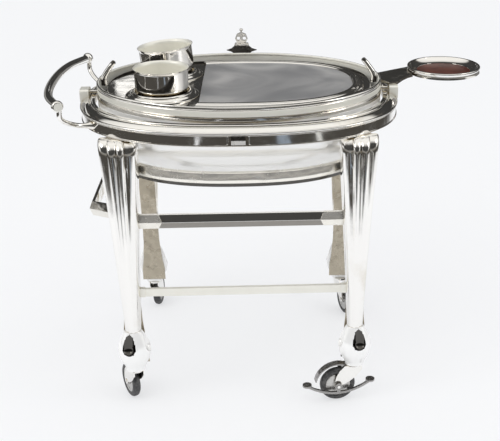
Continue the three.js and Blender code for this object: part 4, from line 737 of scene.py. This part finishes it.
def leg_ring(side_x, side_y, z):
    """An outline of a leg: three reeds and a wide plain lobe, fading downwards, and a flat back."""
    t = (z - LEG_Z) / LEG_TALL
    half = mix(ANKLE_WIDTH, TOP_WIDTH, t ** 1.15) / 2
    reach, back = mix(REACH_AT_FOOT, REACH_AT_TOP, t), mix(BACK_AT_FOOT, BACK_AT_TOP, t)
    x, y = mix(ANKLE_X, TOP_X, t), mix(ANKLE_Y, TOP_Y, t)
    relief = mix(FADED, 1, max(0, (t - 0.1) / 0.9) ** 1.2)
    sharpness = mix(2, 0.75, max(0, (t - 0.6) / 0.4))
    from_top = max(0, LEG_TOP - z)
    crown = math.sqrt(1 - (1 - from_top / CROWN_TALL) ** 2) if from_top < CROWN_TALL else 1
    ring = []
    for i in range(LOBE_STEPS * (REEDS + 1) + 1):
        lobe_index = min(i // LOBE_STEPS, REEDS)
        along = i / LOBE_STEPS - lobe_index
        share = mix(*LOBE_EDGES[lobe_index:lobe_index + 2], along)
        lobe = abs(math.sin(math.pi * along)) ** (sharpness if lobe_index < REEDS else 0.6)
        girth = GROOVE_GIRTH + LOBE_RISE * mix(0.5, lobe, relief)
        angle = math.pi * share
        u = half * math.cos(angle) * girth * mix(0.9, 1, crown)
        depth = (reach + back) * max(0, math.sin(angle)) ** 0.8 * girth
        ring.append((side_x * (x + u), side_y * (y + depth * mix(0.36, 1, crown) - back), z))
    return ring


def carve(piece, tools):
    """Cuts the tools out of the piece and removes them."""
    for tool in tools:
        cut = piece.modifiers.new("cut", "BOOLEAN")
        cut.operation = "DIFFERENCE"
        cut.solver = "EXACT"
        cut.object = tool
    solved = piece.evaluated_get(bpy.context.evaluated_depsgraph_get())
    mesh = bpy.data.meshes.new_from_object(solved)
    piece.modifiers.clear()
    piece.data = mesh
    for tool in tools:
        bpy.data.objects.remove(tool)


PLATE_WIDTHS = [(121, 36), (150, 35.5), (205, 29), (262, 25), (340, 23.5),
                (430, 24), (560, 26), (700, 29), (772, 32)]
bulb_profile = [
    (0.05, 0), (26, 0), (27, 1), (27, 8), (30, 15), (36, 26), (40.5, 36), (43.6, 48), (45, 63),
    (44.3, 73), (41.9, 83), (38, 93), (33.3, 103), (28.6, 112), (24.2, 120.2), (23.5, 121),
    (0.05, 121),
]
for label, sx, sy, heading in SIDES:
    heights = [LEG_Z + 0.75 * LEG_TALL * i / 12 for i in range(13)]
    heights += [mix(heights[-1], LEG_TOP - CROWN_TALL, i / 4) for i in range(1, 5)]
    heights += [LEG_TOP - CROWN_TALL * (1 - i / 20) ** 2 for i in range(1, 21)]
    leg = skin(f"reeded_leg_{label}", [leg_ring(sx, sy, z) for z in heights], sharp=70)
    dress(leg, "frame", [f"leg_{label}"], leg_silver)
    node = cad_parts[f"leg_plate_{label}"]
    corners = sorted((node.matrix_world @ v.co for v in node.data.vertices), key=lambda c: c.z)
    levels = {}
    for corner in corners:
        levels.setdefault(round(corner.z * 1000, 1), []).append((corner.y - MIDDLE[1]) * 1000)
    ends = [(z, min(ys), max(ys)) for z, ys in sorted(levels.items()) if max(ys) - min(ys) > 0.5]
    rings = []
    for i in range(PLATE_STEPS + 1):
        z = mix(ends[0][0], ends[-1][0], i / PLATE_STEPS)
        below, beyond = next((a, b) for a, b in zip(ends, ends[1:]) if z <= b[0] + 0.01)
        part = (z - below[0]) / (beyond[0] - below[0])
        near, far = mix(below[1], beyond[1], part), mix(below[2], beyond[2], part)
        k = sum(z > level for level, _ in PLATE_WIDTHS[1:-1])
        (z0, w0), (z1, w1) = PLATE_WIDTHS[k], PLATE_WIDTHS[k + 1]
        eased = min(1, max(0, (z - z0) / (z1 - z0)))
        half = mix(w0, w1, eased * eased * (3 - 2 * eased))
        x = sx * mix(ANKLE_X, TOP_X, (z - LEG_Z) / LEG_TALL)
        low, high = x - half, x + half
        rings.append([(low, near, z), (high, near, z), (high, far, z), (low, far, z)])
    backing = skin(f"backing_plate_{label}", rings)
    dress(backing, "frame", [f"leg_plate_{label}"], dull_silver)
    flatten = Matrix.Scale(BULB_FLATTENING, 4, (0, 1, 0))
    at = Matrix.Translation((sx * ANKLE_X, sy * ANKLE_Y, FOOT_Z)) @ flatten
    bulb = lathe(f"scooped_bulb_{label}", bulb_profile, 96, at, 60)
    tools = []
    for turn in SCOOP_TURNS:
        azimuth = math.radians(sy * 90 - sx * sy * turn)
        reach = BULB_RADIUS * BULB_FLATTENING + SCOOP - SCOOP_DEPTH
        scoop_x = sx * ANKLE_X + reach * math.cos(azimuth)
        scoop_y = sy * ANKLE_Y + reach * math.sin(azimuth) * BULB_FLATTENING
        capsule = arc(0, 0, SCOOP, -89, 0, 10) + arc(0, BULB_TALL, SCOOP, 0, 89, 10)
        scoop_at = (scoop_x, scoop_y, FOOT_Z + SCOOP_LOW + SCOOP)
        tools.append(lathe(f"scoop_{turn}", capsule, 48, Matrix.Translation(scoop_at)))
    low, high = sx * ANKLE_X - 80, sx * ANKLE_X + 80
    near, far = sy * (ANKLE_Y - BACK_AT_FOOT), sy * (ANKLE_Y - BACK_AT_FOOT - 80)
    corners = [(low, near), (high, near), (high, far), (low, far)]
    tools.append(skin("flat_back", [[(x, y, z) for x, y in corners] for z in (60, 260)]))
    carve(bulb, tools)
    bulb.data.shade_smooth()
    bulb.data.set_sharp_from_angle(angle=math.radians(34))
    dress(bulb, "frame", [f"foot_{label}"], bulb_silver)
    # The faces cut by the last scoop are painted dark, a painted dark reflection.
    bulb.data.materials.append(dark_silver)
    ball = Vector(row(scoop_at))
    for face in bulb.data.polygons:
        gap = face.center - ball
        gap.z = min(0, gap.z)
        face.material_index = 1 if abs(gap.length * 1000 - SCOOP) < 0.5 else 0

# ---- Rails ----
# Ridged rails join the legs. The bowed ones go round the cover and are hazed above a lower edge
# painted dark as shade;
# the straight ones have mitred end pieces and a painted shade on their lower facets.
hoop_low, hoop_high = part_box("hoop_front")
hoop_z = (hoop_low[2] + hoop_high[2]) * 500
HOOP_HALF_LENGTH, HOOP_HALF_DEPTH, HOOP_END, HOOP_SHADE = 340, 288, 302, -7
BRACKET_X, BRACKET_Y, BRACKET_HALF_TALL = (281, 299), (196.5, 232), 18.5
HOOP_SECTION = [(0, -20), (6.4, -20), (8.4, -18.8), (10.4, -14.4), (13.4, -8), (15.5, -2), (16, 1.5),
                (15.2, 10), (13.2, 18.8), (12, 20), (0, 20)]
for label, side in (("front", -1), ("rear", 1)):
    start = math.acos((HOOP_END / HOOP_HALF_LENGTH) ** (1 / OVAL_POWER))
    rings = []
    for i in range(121):
        angle = mix(start, math.pi - start, i / 120)
        rings.append([((HOOP_HALF_LENGTH + out) * signed_power(math.cos(angle), OVAL_POWER),
                       side * (HOOP_HALF_DEPTH + out) * math.sin(angle) ** OVAL_POWER, hoop_z + up)
                      for out, up in HOOP_SECTION])
    hoop = skin(f"bowed_rail_{label}", rings, sharp=25)
    plates = []
    inner, outer = (side * y for y in BRACKET_Y)
    for end in (-1, 1):
        low, high = sorted(end * x for x in BRACKET_X)
        corners = [(low, inner), (high, inner), (high, outer), (low, outer)]
        rings = [[(x, y, hoop_z + up) for x, y in corners]
                 for up in (-BRACKET_HALF_TALL, BRACKET_HALF_TALL)]
        plates.append(skin(f"bracket_{end}", rings))
    with bpy.context.temp_override(active_object=hoop, selected_editable_objects=[hoop, *plates]):
        bpy.ops.object.join()
    dress(hoop, "frame", [f"hoop_{label}"], hazed_silver)
    hoop.data.materials.append(dark_silver)
    # The lowest faces are painted dark as shade.
    for face in hoop.data.polygons:
        face.material_index = 1 if face.center.z < (hoop_z + HOOP_SHADE) / 1000 else 0

END_PIECE, MITRE, BAR_HALF_TALL = 52, 9, 20
BAR_SECTION = [(0, -20), (7.4, -20), (8, -19.3), (15.5, -0.9), (15.9, 0), (15.5, 0.9), (8, 19.3),
               (7.4, 20), (0, 20)]
for label, side in (("front", -1), ("rear", 1)):
    low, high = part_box(f"mid_bar_{label}")
    middle_z = (low[2] + high[2]) * 500
    flat_y = (high[1] if side < 0 else low[1]) - MIDDLE[1]
    reach = (high[0] - low[0]) * 500
    rings = []
    joint = reach - END_PIECE
    for along, thin, chevron in ((-reach, 0, 0), (-joint, 0, 1), (0.6 - joint, 0.7, 1),
                                 (joint - 0.6, 0.7, -1), (joint, 0, -1), (reach, 0, 0)):
        rings.append([(along + chevron * MITRE * (1 - abs(up) / BAR_HALF_TALL),
                       flat_y * 1000 + side * max(0, out - thin),
                       middle_z + up * (1 - thin / 30)) for out, up in BAR_SECTION])
    bar = skin(f"straight_rail_{label}", rings, sharp=15)
    dress(bar, "frame", [f"mid_bar_{label}"], silver)
    # The lower facets are painted a grey shade.
    for metal in (shaded_silver, hazed_silver):
        bar.data.materials.append(metal)
    for face in bar.data.polygons:
        at_end = abs(face.center.x - MIDDLE[0]) > (joint + 2) / 1000
        under = face.center.z < (middle_z - 2) / 1000
        face.material_index = 2 if at_end else int(under)
# The bottom bar takes the pale cream painted reflection.
soften("bottom_bar_front", cream_reflection_silver, 0.0008, 2, 15)
soften("end_rail", worn_silver, 0.0008, 2, 15)

# ---- Push handle ----
# A bowed grip with a ring at each end, on two swan-necked arms.
GRIP_X, GRIP_HALF_SPAN, GRIP_BOW, GRIP_Z = -448, 254, 58, 859
GRIP_END_RADIUS, GRIP_MIDDLE_RADIUS, GRIP_RING, GRIP_RING_RADIUS = 10.4, 11.45, 0.035, 15.5
ARM_RADIUS, ARM_FOOT_RADIUS, ARM_FLARE = 6.5, 10, 0.75


def grip_radius(t):
    """The grip swells to its middle between two rounded rings."""
    from_end = min(t, 1 - t)
    if from_end < GRIP_RING:
        return GRIP_RING_RADIUS * math.sqrt(1 - 0.5 * ((from_end / GRIP_RING) * 2 - 1) ** 2)
    return mix(GRIP_END_RADIUS, GRIP_MIDDLE_RADIUS, math.sin(math.pi * t))


grip_points = [(GRIP_X - GRIP_BOW * (1 - abs(s) ** 2.7), GRIP_HALF_SPAN * s, GRIP_Z)
               for s in (-1, -0.62, 0, 0.62, 1)]
grip = round_bar("bowed_grip", grip_points, grip_radius, 200, 32)
dress(grip, "frame", ["handle_grip"], silver)
# The grip's end faces take the pale cream painted reflection.
grip.data.materials.append(cream_reflection_silver)
for face in grip.data.polygons:
    face.material_index = 1 if len(face.vertices) > 4 else 0


def arm_radius(t):
    """The arm ends in a trumpet foot."""
    return mix(ARM_RADIUS, ARM_FOOT_RADIUS, (max(0, t - ARM_FLARE) / 0.2) ** 2)


ARM_ANGLE, ARM_SEAT, ARM_BEND = math.radians(150), 6.2, -37.8
seat_x, seat_y, _ = on_oval(ARM_SEAT, ARM_ANGLE, 0)
bend_x, bend_y, _ = on_oval(ARM_BEND, ARM_ANGLE, 0)
arm_z = skirt_z + SKIRT_TALL / 2
for label, side in (("front", -1), ("rear", 1)):
    points = [(GRIP_X, side * GRIP_HALF_SPAN * 0.97, GRIP_Z - 6),
              (GRIP_X, side * GRIP_HALF_SPAN * 0.95, GRIP_Z - 34),
              (bend_x, side * bend_y, arm_z + 9), (seat_x, side * seat_y, arm_z)]
    across = Vector((0.35, side * 0.94, 0.1))
    arm = round_bar(f"swan_neck_{label}", points, arm_radius, 60, 24, across)
    dress(arm, "frame", [f"handle_arm_{label}"], silver)

# ---- Plate holder ----
# A ring with a dark red floor, on a flat arm that lies on the right pivot block.
leather = bpy.data.materials.new("dark_red_floor")
leather.use_nodes = True
tree = leather.node_tree
shader = tree.nodes["Principled BSDF"]
shader.inputs["Roughness"].default_value = 0.32
where = add_node(tree, "ShaderNodeTexCoord").outputs["Object"]
mottle = add_node(tree, "ShaderNodeTexNoise", Scale=30.0, Detail=5.0, Roughness=0.6)
tree.links.new(where, mottle.inputs["Vector"])
mottled = ramp(tree, mottle.outputs[0], 0.3, 0.7)
red = mix_colors(tree, mottled, (0.055, 0.012, 0.008, 1), (0.12, 0.032, 0.02, 1))
tree.links.new(red, shader.inputs["Base Color"])
bumps = add_node(tree, "ShaderNodeBump", Strength=0.2, Distance=0.0005)
tree.links.new(mottle.outputs[0], bumps.inputs["Height"])
tree.links.new(bumps.outputs[0], shader.inputs["Normal"])
holder_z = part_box("holder_ring")[0][2] * 1000
HOLDER_X, HOLDER_Y = 586, 126
at = Matrix.Translation((HOLDER_X, HOLDER_Y, holder_z))
profile = [(93.2, 0), (102, 0), (104, 0.7), (103.2, 4), (102.4, 9), (102.6, 10.6), (104, 12),
           (104.8, 14)]
profile += arc(102.4, 16.4, 2.5, 0, 90, 6) + arc(99.4, 16.4, 2.5, 90, 160, 5)
profile += [(95.4, 14.8), (91, 10.6), (85, 7.4), (79, 5.6), (76.6, 5.2), (76.4, 4.7)]
profile += [(97, 4.6), (97, 2), (93.2, 2), profile[0]]
holder_ring = lathe("holder_rim", profile, 160, at, 40)
dress(holder_ring, "frame", ["holder_ring"], silver)
base = lathe("holder_floor", [(0.05, 2.3), (96.4, 2.3), (96.4, 4), (96.1, 4.3), (0.05, 4.3)], 128, at)
dress(base, "frame", ["holder_base"], leather)
soften("holder_arm", worn_silver, 0.001, 3)

# ---- Casters and brake ----
# Plated yokes with grey rubber wheels; the front right one has a guard and a rocking pedal.
cast = plated("cast_steel", (0.42, 0.41, 0.4, 1), (0.2, 0.19, 0.18, 1), 0.28, 0.45, 0.3, 90.0, 0.01)
rubber = bpy.data.materials.new("gray_rubber")
rubber.use_nodes = True
tree = rubber.node_tree
shader = tree.nodes["Principled BSDF"]
where = add_node(tree, "ShaderNodeTexCoord").outputs["Object"]
dust = add_node(tree, "ShaderNodeTexNoise", Scale=70.0, Detail=4.0, Roughness=0.65)
tree.links.new(where, dust.inputs["Vector"])
dusty = ramp(tree, dust.outputs[0], 0.35, 0.7)
gray = mix_colors(tree, dusty, (0.028, 0.028, 0.03, 1), (0.1, 0.098, 0.095, 1))
tree.links.new(gray, shader.inputs["Base Color"])
tree.links.new(ramp(tree, dust.outputs[0], 0.3, 0.7, 0.4, 0.6), shader.inputs["Roughness"])
hub_metal = plated("hub_metal", (0.6, 0.59, 0.57, 1), (0.25, 0.24, 0.22, 1),
                   0.25, 0.4, 0.2, 90.0, 0.01)
WHEEL_RADIUS, TRAIL, HUB_RADIUS = 50, 48, 34.5
tread = [(4.6, -11), (12, -11), (13, -10.4), (13.6, -8), (30, -7.2), (35, -8.6), (37, -11),
         (40, -11.1), (44, -10.4), (47.6, -8), (49.6, -4.6), (WHEEL_RADIUS, 0)]
profile = tread + [(r, -z) for r, z in tread[-2::-1]]
profile.append(profile[0])
for label, sx, sy, heading in SIDES:
    turned = Matrix.Rotation(math.radians(heading), 4, "Z")
    stem = Matrix.Translation((sx * ANKLE_X, sy * ANKLE_Y, 0)) @ turned
    axle = stem @ Matrix.Translation((TRAIL, 0, WHEEL_RADIUS)) @ Matrix.Rotation(math.pi / 2, 4, "X")
    wheel = lathe(f"rubber_wheel_{label}", profile, 72, axle, 40)
    dress(wheel, f"wheel_{label}", [f"wheel_{label}"], rubber)
    wheel.data.materials.append(hub_metal)
    centre = Vector(row(axle @ Vector((0, 0, 0))))
    for face in wheel.data.polygons:
        face.material_index = 1 if (face.center - centre).length < HUB_RADIUS / 1000 else 0
    soften(f"yoke_{label}", silver, 0.0007, 2)
soften("brake_guard", cast, 0.0006, 2, 20)
toothed = plated("toothed_steel", (0.4, 0.39, 0.38, 1), (0.2, 0.19, 0.18, 1),
                 0.3, 0.45, 0.2, 90.0, 0.01)
tree = toothed.node_tree
teeth = add_node(tree, "ShaderNodeTexWave", Scale=62.0, bands_direction="X")
tree.links.new(add_node(tree, "ShaderNodeTexCoord").outputs["Object"], teeth.inputs["Vector"])
notches = add_node(tree, "ShaderNodeBump", Strength=0.8, Distance=0.0015)
tree.links.new(teeth.outputs["Fac"], notches.inputs["Height"])
tree.links.new(tree.nodes["Group"].outputs["Normal"], notches.inputs["Normal"])
tree.links.new(notches.outputs[0], tree.nodes["Principled BSDF"].inputs["Normal"])
soften("brake_pedal", toothed, 0.0008, 2, 20)

bpy.context.scene.view_settings.view_transform = "Standard"
